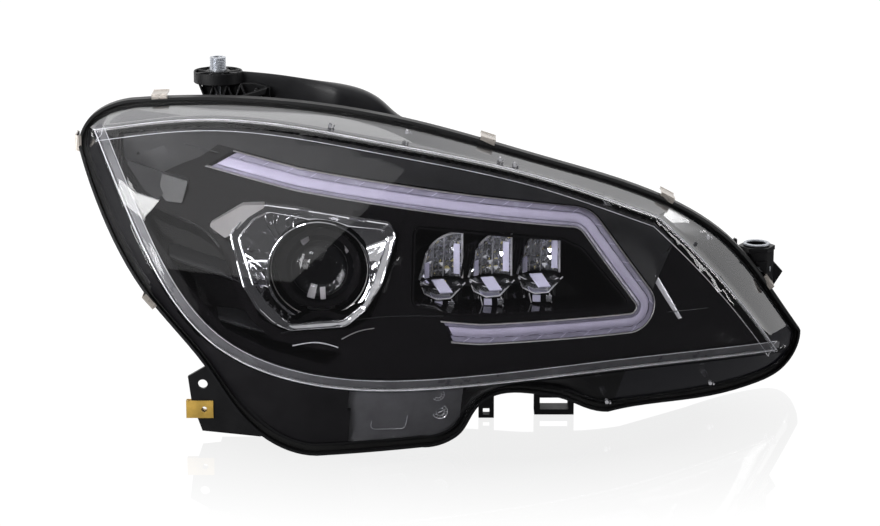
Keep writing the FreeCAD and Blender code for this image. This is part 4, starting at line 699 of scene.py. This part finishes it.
ANGLES = np.linspace(0, 2 * math.pi, 240, endpoint=False)
SURROUND = rounded(
    [(-194, 194), (-182, 152), (-170, 133), (-158, 121.5), (-142, 114.5), (-94, 116), (-77, 129), (-63, 149),
     (-50.5, 189), (-57, 198), (-134, 212.5), (-165, 216.5), (-180, 210)],
    [5, 14, 14, 14, 14, 14, 14, 20, 6, 6, 60, 10, 8],
)


def reach_at(angles):
    """Distance from the projector's axis to the surround's outline, at each angle."""
    offset = spaced(SURROUND, 1600, closed=True) - np.array(AXIS)
    angle = np.mod(np.arctan2(offset[:, 1], offset[:, 0]), 2 * math.pi)
    order = np.argsort(angle)
    return np.interp(angles, angle[order], np.hypot(*offset.T)[order], period=2 * math.pi)


def round_axis(radius, depth=None, y=None):
    """Points round the axis at those radii, on the skin at depth or at depths y."""
    x, z = AXIS[0] + radius * np.cos(ANGLES), AXIS[1] + radius * np.sin(ANGLES)
    if y is None:
        y = skin(x, z, depth)
    return list(zip(x, np.broadcast_to(y, x.shape), z))


def projector_surround():
    """A raised chrome edge round the window, and a bowl from it to the ring round the glass."""
    width, ring_r, ring_y, back_y = 9.6, 44.4, -88.5, -80.5
    outer = reach_at(ANGLES)
    share = np.clip((outer - 44.8) / width, 0.55, 1.0)
    section = [(-0.5, 30.0), (-0.4, 14.5), (0.0, 13.2), (0.9, 12.8), (1.7, 13.4), (2.0, 14.6), (2.6, 14.9),
               (7.2, 16.4), (7.9, 15.8), (8.6, 15.6), (9.3, 16.2)]
    rows = [round_axis(outer - across * share, depth) for across, depth in section]
    inner = outer - width * share
    ring = np.minimum(ring_r, inner - 0.6)
    front = np.array([y for _, y, _ in round_axis(inner, 18.0)])
    for t in (0.0, 0.25, 0.5, 0.75, 1.0):
        fall = 1 - (1 - t) ** 1.4
        y = front * (1 - fall) + np.maximum(front, ring_y) * fall
        rows.append(round_axis(inner * (1 - t) + ring * t, y=y))
    rows.append(round_axis(ring, y=back_y))
    Shape().rows(rows).made("surround_frame", CHROME, "chrome", ["projector_trim"], smooth=28)


projector_surround()
WEDGE = [(-213, 201), (-183.5, 217), (-160, 217.5), (-178, 207), (-192, 193), (-198, 190)]
plate_on_skin("surround_wedge", WEDGE, 12.6, (0.05, 0.25), SATIN, "chrome", [2.5, 3, 1.5, 6, 4, 2])


# slanting ribs in the surround's upper inboard corner and small steps down its side
shape = Shape()
for a in np.radians((118, 126, 134, 142)):
    lean = a - 0.16
    reach = reach_at(lean) - 9.5
    low = facing(AXIS, 45.5, a, -89.5)
    high = facing(AXIS, reach, lean, skin(*polar(AXIS, reach, lean), 17.0))
    middle = (np.array(low) + high) / 2 + (-3.0, -1.5, 1.5)
    shape.tube([low, middle, high], 0.7)
for a in np.radians(158 + 9.5 * np.arange(9)):
    reach = reach_at(a) - 10.0
    profile = [(45.2, -88.5), ((48 + reach) / 2, -97.0), (reach, skin(*polar(AXIS, reach, a), 17.5))]
    shape.tube([facing(AXIS, r, a, y) for r, y in profile], 1.1)
shape.made("surround_ribs", CHROME, "chrome")


def ring(name, profile, finish, slot, centre=AXIS, replaces=(), axis="y"):
    Shape().turned(profile, centre, axis, closed=True).made(name, finish, slot, replaces, smooth=30)


ring("shroud_edge", [(43.2, -89.0), (43.5, -89.9), (44.1, -90.2), (44.7, -89.8), (44.9, -88.0),
                     (43.2, -87.0)], CHROME, "chrome")
# the shroud's real black inside, given the sheen-less black of painted shade
ring("shroud_tunnel", [(43.4, -88.6), (42.8, -86.0), (42.5, -80.0), (41.9, -79.0), (41.8, -72.0),
                       (41.4, -71.0), (41.3, -62.0), (45.0, -62.0), (45.0, -88.6)],
     SHADE_BLACK, "gloss_black", replaces=["projector_shroud"])
ring("shroud_line", [(41.6, -79.2), (41.8, -79.8), (42.2, -79.9), (42.5, -79.4), (42.5, -78.4),
                     (41.6, -78.4)], SATIN, "chrome")


# what shows through the projector's glass: a black bowl that stands in for the shade inside (painted shade),
# with a few bright slats as painted reflections round a dark stop
bowl = Shape()
bowl.turned([(0.2, -58.0), (9.0, -58.6), (17.0, -61.0), (23.0, -64.5), (28.2, -69.6), (28.9, -69.6),
             (28.9, -57.0), (0.2, -57.0)], AXIS)
bowl.made("dome_painted_shade", SHADE_BLACK, "gloss_black", body="projector", smooth=40)
reflection_slats = Shape()
for a0, a1, r0, r1 in ((62, 84, 14.0, 20.0), (92, 112, 15.0, 21.0), (118, 136, 13.0, 19.0),
                       (246, 262, 12.0, 20.5), (268, 280, 13.0, 20.5), (18, 34, 15.0, 19.0)):
    low = [facing(AXIS, r, math.radians(a), -62.6 - 0.28 * (r - 12))
           for a, r in ((a0, r0), (a0 + 2, r1), (a1 - 2, r1), (a1, r0))]
    reflection_slats.rows([low, [(x, y + 0.8, z) for x, y, z in low]], ends=True)
reflection_slats.made("dome_painted_reflections", SATIN, "chrome", body="projector")


# ---- LED modules

def led_module(number, cx, base):
    """A faceted half-dome reflector whose edges, the right one most, are painted bright as highlights, with a
    shelf plate and a vee tray.
    """
    y0 = skin(cx, base, 42.0)
    shape = Shape()
    columns, levels = 7, 6
    random = np.random.default_rng(number)

    def dome(u, v):
        half = math.sqrt(max(0.0, 1 - (1 - u) ** 2))
        x = cx - 19.0 + 37.0 * u + 3.0 * v * (1 - u)
        z = base + 2 + (11 + 31 * half) * v
        y = y0 + 20.0 * math.sqrt(max(0.0, 1 - (1.7 * u - 0.95) ** 2)) * (1 - 0.55 * v * v) + 1.5
        return np.array([x, y, z])
    for i in range(columns):
        for j in range(levels):
            u0, u1, v0, v1 = i / columns, (i + 1) / columns, j / levels, (j + 1) / levels
            quad = [dome(u0, v0), dome(u1, v0), dome(u1, v1), dome(u0, v1)]
            middle = sum(quad) / 4
            forward, across, rise = (random.uniform(*span) for span in ((0.6, 2.4), (-1, 1), (-1, 1)))
            bulge = np.array([across, -forward, rise])
            ids = shape.add(quad + [middle + bulge])
            shape.faces += [(ids[k], ids[(k + 1) % 4], ids[4]) for k in range(4)]
    shape.made(f"led_dome_{number}", MIRROR, "mirror", [f"led_reflector_{number}"], smooth=12)

    def at(*steps):
        """Points at steps of (across, back, up) from the module's middle."""
        return [(cx + dx, y0 + dy, base + dz) for dx, dy, dz in steps]

    def post(shape, outline, low, high):
        shape.slab([(cx + dx, y0 + dy) for dx, dy in outline], base + low, base + high, plane="xy")
    up, over = np.linspace(0, 1, 8), np.linspace(0, 1, 12)[1:]
    # near-white tubes along the dome's edges and below it: painted highlights
    edge = Shape()
    edge.tube([dome(0, v) + (-0.5, -1.2, 0) for v in up] + [dome(u, 1) + (0, -1.2, 0.5) for u in over], 1.05)
    edge.tube([dome(1, v) + (0.4, -1.5, 0) for v in up], 0.9)
    for u in (0.28, 0.55):
        edge.tube([dome(u, v) + (0, -1.4, 0) for v in up], 0.45, 6)
    edge.tube(at((-18.5, -1, 1), (-15, -3, -8), (-4, -5, -13), (8, -4, -12), (19, 1, -1), (21, 1, 1)), 0.6)
    edge.tube(at((-18.5, 0, 2), (-6, -2, -4), (4, -3, -6), (16, 0, 0)), 0.5)
    for dx in (-9, 9):
        edge.tube(at((dx, -3, -13), (dx + 2, -2, -22)), 0.45, 6)
    edge.made(f"led_gleam_edges_{number}", PAINTED_GLEAM, "chrome")
    strip = Shape()
    post(strip, [(10.5, 1.5), (15.8, -0.6), (16.3, 0.4), (11.2, 3.0)], 9, 36)
    post(strip, [(-14.5, 2.2), (-11.0, 6.0), (-10.4, 7.0), (-15.2, 3.2)], 4, 18)
    strip.made(f"led_edge_strip_{number}", LILAC, "mirror", bevel=0.3)
    plate = [at((-9, -2.0, 4.5), (2, -1.0, 5.0), (10, -9, -5.0), (-1, -10, -5.5)),
             at((-9, -1.0, 3.0), (2, 0, 3.5), (10, -8, -6.5), (-1, -9, -7.0))]
    Shape().rows(plate, ends=True).made(f"led_shelf_plate_{number}", LILAC, "mirror", bevel=0.3)
    facets = [(-18, 1), (-14, -8), (-4, -13), (8, -12), (18, -1)]
    tray = [at(*((dx, 0.1 * abs(dx) - 3, dz) for dx, dz in facets)),
            at(*((dx * 0.75, 6, dz * 0.35 + 2) for dx, dz in facets))]
    Shape().rows(tray, closed=False).made(f"led_tray_{number}", MIRROR, "mirror", smooth=10)
    for k, (left, right, finish) in enumerate(((-6.0, 1.0, LILAC), (6.0, 11.0, MIRROR))):
        leg = Shape()
        post(leg, [(left, -3.0), (right, -3.6), (right, 0), (left, 0)], -21, -15)
        leg.made(f"led_leg_{number}_{k}", finish, "mirror", bevel=0.3)


for number, (cx, base) in enumerate(((-12.0, 140.0), (31.5, 138.5), (75.0, 137.0)), start=1):
    led_module(number, cx, base)


# faint curved fins between the LED modules
shape = Shape()
for cx, base in ((10.5, 141.0), (54.0, 139.5)):
    for k in range(4):
        y0 = skin(cx, base, 46.0 + k)
        shape.tube([(cx - 5 + 3 * k, y0, base + 3 + 2 * k), (cx - 3 + 3 * k, y0, base + 18),
                    (cx + 2.5 * k, y0, base + 32 + k)], 0.9)
shape.made("led_ghost_fins", GLOSS, "gloss_black")


# the blade behind the light bar's outboard corner, painted bright as a highlight that stands in for its
# chrome gleam
left, right = (spaced(through(run), 40) for run in (
    [(133, 201), (139, 184), (160, 152), (181, 118), (201, 87)],
    [(135, 202), (152, 181), (176, 150), (198, 113), (210, 89)]))
rows = [on_skin(left * (1 - t) + right * t, 22.5 - 3.0 * math.sin(math.pi * t) + 2.0 * t)
        for t in (0.0, 0.25, 0.5, 0.75, 1.0)]
rows += [on_skin(right, 30.0), on_skin(left, 30.0)]
Shape().rows(zip(*rows)).made("blade_painted_gleam", PAINTED_GLEAM, "chrome", ["chrome_blade"], smooth=40)


# ---- lens edges, side bands and pips

def side_band(name, first, last, share, finish, slot, ribs=0.0, count=4):
    """A strip inside the lens's side wall, from mark first to last, over a share of the way to the rim."""
    begin, end = sum(COUNTS[:first]), sum(COUNTS[:last])
    front, back = inset(EDGE_FRONT, 3.6)[begin:end], inset(EDGE_BACK, 6.6)[begin:end]
    rows = []
    for k, t in enumerate(np.linspace(*share, count)):
        flat = front * (1 - t) + back * t
        depth = skin(*front.T, 5.0) * (1 - t) + rim(*back.T, 3.0) * t
        depth += ribs * ((np.arange(len(flat)) + k) % 2)
        rows.append([(x, y, z) for (x, z), y in zip(flat, depth)])
    Shape().rows(rows, closed=False).made(name, finish, slot, smooth=25)


side_band("side_band_top", 0, 2, (0.12, 0.8), SIDE_FROST, "clear_lens", ribs=0.25, count=9)
side_band("side_liner_tail", 2, 4, (0.1, 1.0), TAIL, "gloss_black", count=6)
side_band("side_liner_low", 8, 11, (0.05, 1.0), BLACK, "black_plastic")
side_band("side_liner_foot", 6, 8, (0.05, 1.0), SMOKE, "dark_trim")


# two thin bright tubes that follow the lens's front edge: painted highlights where its wall turns the light
for name, distance, radius in (("crease_highlight_outer", 1.9, 0.5), ("crease_highlight_inner", 10.2, 0.32)):
    loop = inset(EDGE_FRONT, distance)
    shape = Shape()
    shape.tube(on_skin(np.concatenate([loop, loop[:1]]), 3.6), radius, 6, ends=False)
    shape.made(name, LENS_EDGE_HIGHLIGHT, "clear_lens")


# ---- mounts, clips and marks outside

def upper_mount():
    """A spoked dish on a lattice of thin ribs, and a blade that swells into a smooth cowl."""
    post = (-213.0, 50.0)
    dish = Shape()
    dish.turned([(0.5, 302.5), (20.4, 302.5), (20.6, 309.6), (21.0, 310.4), (21.6, 310.6), (22.0, 310.0),
                 (22.0, 300.6), (21.4, 300.0), (0.5, 300.0)], post, "z")
    dish.turned([(8.2, 302.0), (8.2, 310.2), (8.6, 310.6), (10.6, 310.6), (11.2, 310.0), (11.5, 302.0)],
                post, "z", 72)
    dish.made("mount_dish", BLACK, "black_plastic", ["upper_mount_arm"], smooth=32)
    ribs, half = Shape(), 0.7
    for a in np.radians(22.5 + 45 * np.arange(8)):
        ribs.slab(bar(polar(post, 10.8, a), polar(post, 20.9, a), half), 302.0, 309.8, plane="xy")
    lattice = [(-229, 266, -216, 300), (-216, 300, -204, 268), (-204, 268, -192, 300), (-192, 300, -178, 266),
               (-229, 300, -216, 266), (-216, 266, -204, 300), (-204, 300, -192, 268), (-192, 268, -178, 296),
               (-229, 284, -166, 284), (-178, 296, -166, 272)]
    for x0, z0, x1, z1 in lattice:
        for low, high in ((36.2, 44.0), (56.0, 63.8)):
            ribs.slab(bar((x0, z0), (x1, z1), half), low, high)
    ribs.made("mount_ribs", RIBS, "black_plastic", bevel=0.25)
    core = Shape()
    core.slab([(-227, 262), (-227, 300), (-180, 300), (-166, 296), (-166, 262)], 43.0, 57.0)
    core.slab([(-196, 284), (-170, 291), (-168, 297), (-196, 289)], 35.0, 44.0)
    core.slab([(-190, 272), (-164, 277), (-160, 288), (-188, 282)], 36.0, 43.0)
    core.made("mount_core", BLACK, "black_plastic", bevel=0.8)
    top, low = (spaced(through(run, 4.0), 48) for run in (
        [(-207, 310.6), (-160, 306.5), (-120, 300.5), (-84, 293), (-66, 283), (-53, 271), (-38, 262)],
        [(-207, 284), (-160, 277), (-120, 270), (-90, 262), (-70, 256), (-54, 250), (-38, 246)]))
    rows = []
    for (xt, zt), (xl, zl) in zip(top, low):
        half = 2.2 + 7.6 * max(0.0, min(1.0, (xt + 150.0) / 45.0)) ** 2
        row = []
        for a in np.linspace(0, 2 * math.pi, 28, endpoint=False):
            up = 0.5 + 0.5 * math.copysign(abs(math.cos(a)) ** 0.55, math.cos(a))
            across = math.copysign(abs(math.sin(a)) ** 0.8, math.sin(a))
            row.append((xl + (xt - xl) * up, 52.0 - across * half, zl + (zt - zl) * up))
        rows.append(row)
    Shape().rows(rows, ends=True).made("mount_blade", COWL, "black_plastic", smooth=50)


upper_mount()


# a hexagon flange with a round shoulder, and a beaded mouth on the zinc bush
bush = (285.0, 122.0)
shape = Shape()
hexagon = [polar(bush, 17, a) for a in np.linspace(0, 2 * math.pi, 7)[:-1] + 0.3]
shape.slab(hexagon, 108.0, 113.5, plane="xy")
shape.made("bush_flange", ZINC, "zinc", bevel=0.7)
ring("bush_lip", [(9.4, 132.4), (9.6, 133.4), (10.4, 133.9), (11.6, 133.9), (12.5, 133.4), (12.7, 132.2)],
     ZINC, "zinc", centre=bush, axis="z")


def spring_clip(number, place):
    """A bent steel plate over the rim: a flat back, a rolled top and a turned-in lip."""
    half, thick = 7.0, 1.1
    loop = inset(EDGE_BACK, -1.5)
    i = int(np.argmin(np.hypot(*(loop - np.array(place)).T)))
    here, out = loop[i], outward(loop)[i]
    run = loop[(i + 2) % len(loop)] - loop[i - 2]
    run = run / np.hypot(*run)
    section = [(-3.5, -13.0), (-1.0, -13.6), (0.6, -12.8), (1.0, -11.0), (1.0, 5.5), (0.3, 6.6), (1.6, 8.0)]
    corners = [(-half, 0.0, 0.0), (half, 0.0, 0.0), (half, thick, 0.2), (-half, thick, 0.2)]
    rows = []
    for u, v in section:
        flat = [here + run * across + out * (u + lift) for across, lift, _ in corners]
        rows.append([(x, rim(*here) + v + behind, z) for (x, z), (_, _, behind) in zip(flat, corners)])
    replaces = ["lens_clips"] if number == 1 else ()
    Shape().rows(rows, ends=True).made(f"clip_plate_{number}", SPRING, "spring_steel", replaces)


CLIP_PLACES = [(-261, 297), (-327, 262), (30, 255), (195, 190), (-262, 142), (292, 100)]
for number, place in enumerate(CLIP_PLACES, start=1):
    spring_clip(number, place)


# small moulded studs on the lens's edges, and the two dials with a slot plate in the skirt
shape = Shape()
for x, z, depth in ((-109, 277, 2.6), (-42, 270, 2.6), (40, 244, 2.6), (53, 239, 2.6), (231, 159, 3.0),
                    (137, 22, 9.0), (236, 21, 8.0)):
    y = skin(x, z, depth + 3.5)
    shape.tube([(x, y + 5, z), (x, y - 1.5, z)], 1.7, 10)
    shape.tube([(x + 3.2, y + 5, z - 1), (x + 3.2, y - 0.5, z - 1)], 0.9, 8)
shape.made("lens_studs", STUD, "clear_lens")
marks = Shape()
for x, z, depth, radius in ((-13, 34, 13.0, 6.5), (-15, 52, 9.0, 5.5)):
    y = skin(x, z, depth)
    for r in (radius, radius * 0.55):
        dial = [facing((x, z), r, a, y) for a in np.linspace(0, 2 * math.pi, 33)]
        marks.tube(dial, 0.35, 6, ends=False)
    for a in np.radians(30 * np.arange(12)):
        marks.tube([facing((x, z), r, a, y) for r in (radius * 0.55, radius * 0.95)], 0.25, 5)
    marks.tube([(x - radius * 0.3, y, z - 1), (x + radius * 0.35, y, z + 1.2)], 0.5, 6)
plate = rounded([(-74, 22), (-44, 20), (-40, 40), (-52, 46), (-70, 44)], 4)
marks.tube(on_skin(np.concatenate([plate, plate[:1]]), 14.0), 0.4, 6, ends=False)
marks.made("skirt_marks", STUD, "clear_lens")


# stiffening ribs, gate marks and a raised frame moulded on the housing's flat back
shape = Shape()
low, high, gate = 94.0, 97.6, 95.6
for cap, start, end, bearings in ((AXIS, 55.0, 70.0, (28, 52, 76, 104, 128, 152, 176, 204, 334)),
                                  ((24.0, 140.0), 35.0, 47.0, (25, 60, 95, 130, 240, 275, 310, 340))):
    for a in np.radians(bearings):
        shape.slab(bar(polar(cap, start, a), polar(cap, end, a), 0.9, 0.63), low, high)
border = rounded([(96, 88), (150, 88), (150, 128), (96, 128)], 6)
section = [(0, low), (0, 96.6), (1.6, 96.6), (1.6, low)]
shape.rows([[(x, y, z) for x, z in inset(border, i)] for i, y in section])
shape.made("back_ribs", RIBS, "black_plastic", bevel=0.3)
marks = Shape()
for x, z in ((-60, 222), (-176, 222), (70, 178), (76, 100), (-30, 190), (-195, 150)):
    marks.turned([(0.2, gate), (2.4, gate), (3.0, 95.2), (3.0, low)], (x, z), count=24)
marks.made("back_gate_marks", RIBS, "black_plastic")


# ---- materials for the CAD pieces that stay

OWN_FINISH = {"speed_nut": YELLOW, "lens_retainer": GLOSS, "projector_holder": GLOSS, "gimbal_carrier": GLOSS,
              "aim_frame": GLOSS}
for row in frame["record"]["subparts"]:
    node = frame["nodes"].get(row["node"])
    if node:
        node.data.materials.clear()
        node.data.materials.append(OWN_FINISH.get(row["node"], FINISHES[row["material_slot"]]))
        node.data.shade_smooth()
        node.data.set_sharp_from_angle(angle=math.radians(30))


# ---- studio and camera

WHITE_LEVEL = 1.06  # radiance that renders as plain white
FLOOR_Z = -0.0006


def white_card(name, corners):
    """A glowing white card, and its node tree. It is part of the stage and clear plastic lets it go."""
    mesh = bpy.data.meshes.new(name)
    mesh.from_pydata(corners, [], [(0, 1, 2, 3)])
    made = bpy.data.materials.new(name)
    made.use_nodes = True
    tree = made.node_tree
    tree.nodes.remove(tree.nodes["Principled BSDF"])
    shine = new_node(tree, "Emission", Color=(1.0, 1.0, 1.0, 1.0), Strength=WHITE_LEVEL)
    tree.links.new(shine.outputs[0], tree.nodes["Material Output"].inputs[0])
    mesh.materials.append(made)
    piece = bpy.data.objects.new(name, mesh)
    bpy.context.scene.collection.objects.link(piece)
    piece.visible_transmission = False
    return piece, tree, shine


def floor():
    """A white floor that mirrors the lamp faintly and fades to plain white around it."""
    corners = [(x, y, FLOOR_Z) for x, y in ((-3, -3), (3, -3), (3, 3), (-3, 3))]
    piece, tree, shine = white_card("floor", corners)
    piece.visible_glossy = False
    squash = new_node(tree, "VectorMath", Vector=new_node(tree, "TexCoord").outputs["Object"])
    squash.operation = "MULTIPLY"
    squash.inputs[1].default_value = (1.6, 2.7, 0.0)
    reach = new_node(tree, "VectorMath", Vector=squash.outputs[0])
    reach.operation = "LENGTH"
    fade = new_node(tree, "MapRange", Value=reach.outputs["Value"], From_Min=0.35, From_Max=1.0,
                    To_Min=0.2, To_Max=0.0)
    mixed(tree, fade.outputs[0], shine, new_node(tree, "BsdfGlossy", Roughness=0.02))


def backdrop():
    """A white wall behind the lamp that only reflections see."""
    corners = [(x, 1.4, z) for x, z in ((-3, FLOOR_Z), (3, FLOOR_Z), (3, 1.6), (-3, 1.6))]
    piece, _, _ = white_card("backdrop", corners)
    piece.visible_camera = False
    piece.visible_diffuse = False


floor()
backdrop()
AIM = (0.0, -0.05, 0.15)
BACK_AIM = (0.0, 0.1, 0.12)
SOFTBOXES = [
    # name, place, aim, width, height, watts
    ("top", (0.0, 0.45, 1.5), AIM, 2.8, 1.6, 15.0),
    ("front_fill", (-0.8, -1.6, 2.4), AIM, 3.6, 2.4, 12.0),
    ("left_strip", (-1.5, -0.75, 0.6), AIM, 0.35, 1.2, 12.0),
    ("right_strip", (1.5, -0.1, 0.6), AIM, 0.1, 1.3, 3.5),
    ("left_card", (-1.9, -1.9, 0.7), AIM, 0.8, 1.3, 13.0),
    ("back_card", (0.7, 2.3, 0.45), BACK_AIM, 2.2, 0.8, 24.0),
    ("back_low", (-1.9, 1.3, 0.5), BACK_AIM, 0.7, 0.9, 14.0),
    ("left_window", (-0.95, -1.25, 0.75), AIM, 0.16, 0.34, 4.5),
    ("high_window", (-0.75, -0.9, 1.3), AIM, 0.3, 0.2, 2.0),
]
for name, place, aim, width, height, watts in SOFTBOXES:
    data = bpy.data.lights.new(name, "AREA")
    data.shape = "RECTANGLE"
    data.size, data.size_y, data.energy = width, height, watts
    lamp = bpy.data.objects.new(name, data)
    lamp.location = place
    lamp.rotation_euler = (Vector(aim) - Vector(place)).to_track_quat("-Z", "Y").to_euler()
    bpy.context.scene.collection.objects.link(lamp)

# white for the camera, dim grey for everything else
world = bpy.context.scene.world or bpy.data.worlds.new("world")
bpy.context.scene.world = world
world.use_nodes = True
sky = world.node_tree
set_sockets(sky, sky.nodes["Background"], dict(Color=(0.05, 0.05, 0.052, 1.0)))
mixed(sky, new_node(sky, "LightPath").outputs["Is Camera Ray"], sky.nodes["Background"],
      new_node(sky, "Background", Color=(1.0, 1.0, 1.0, 1.0)), "World Output")

bpy.context.scene.view_settings.view_transform = "Standard"

camera_data = bpy.data.cameras.new("camera")
camera_data.lens = 114.2
camera_data.sensor_width = 36.0
camera = bpy.data.objects.new("camera", camera_data)
camera.location = (-0.013, -2.4327, 0.7506)
camera.rotation_euler = (math.radians(76.0), 0.0, 0.0)
bpy.context.scene.collection.objects.link(camera)
bpy.context.scene.camera = camera
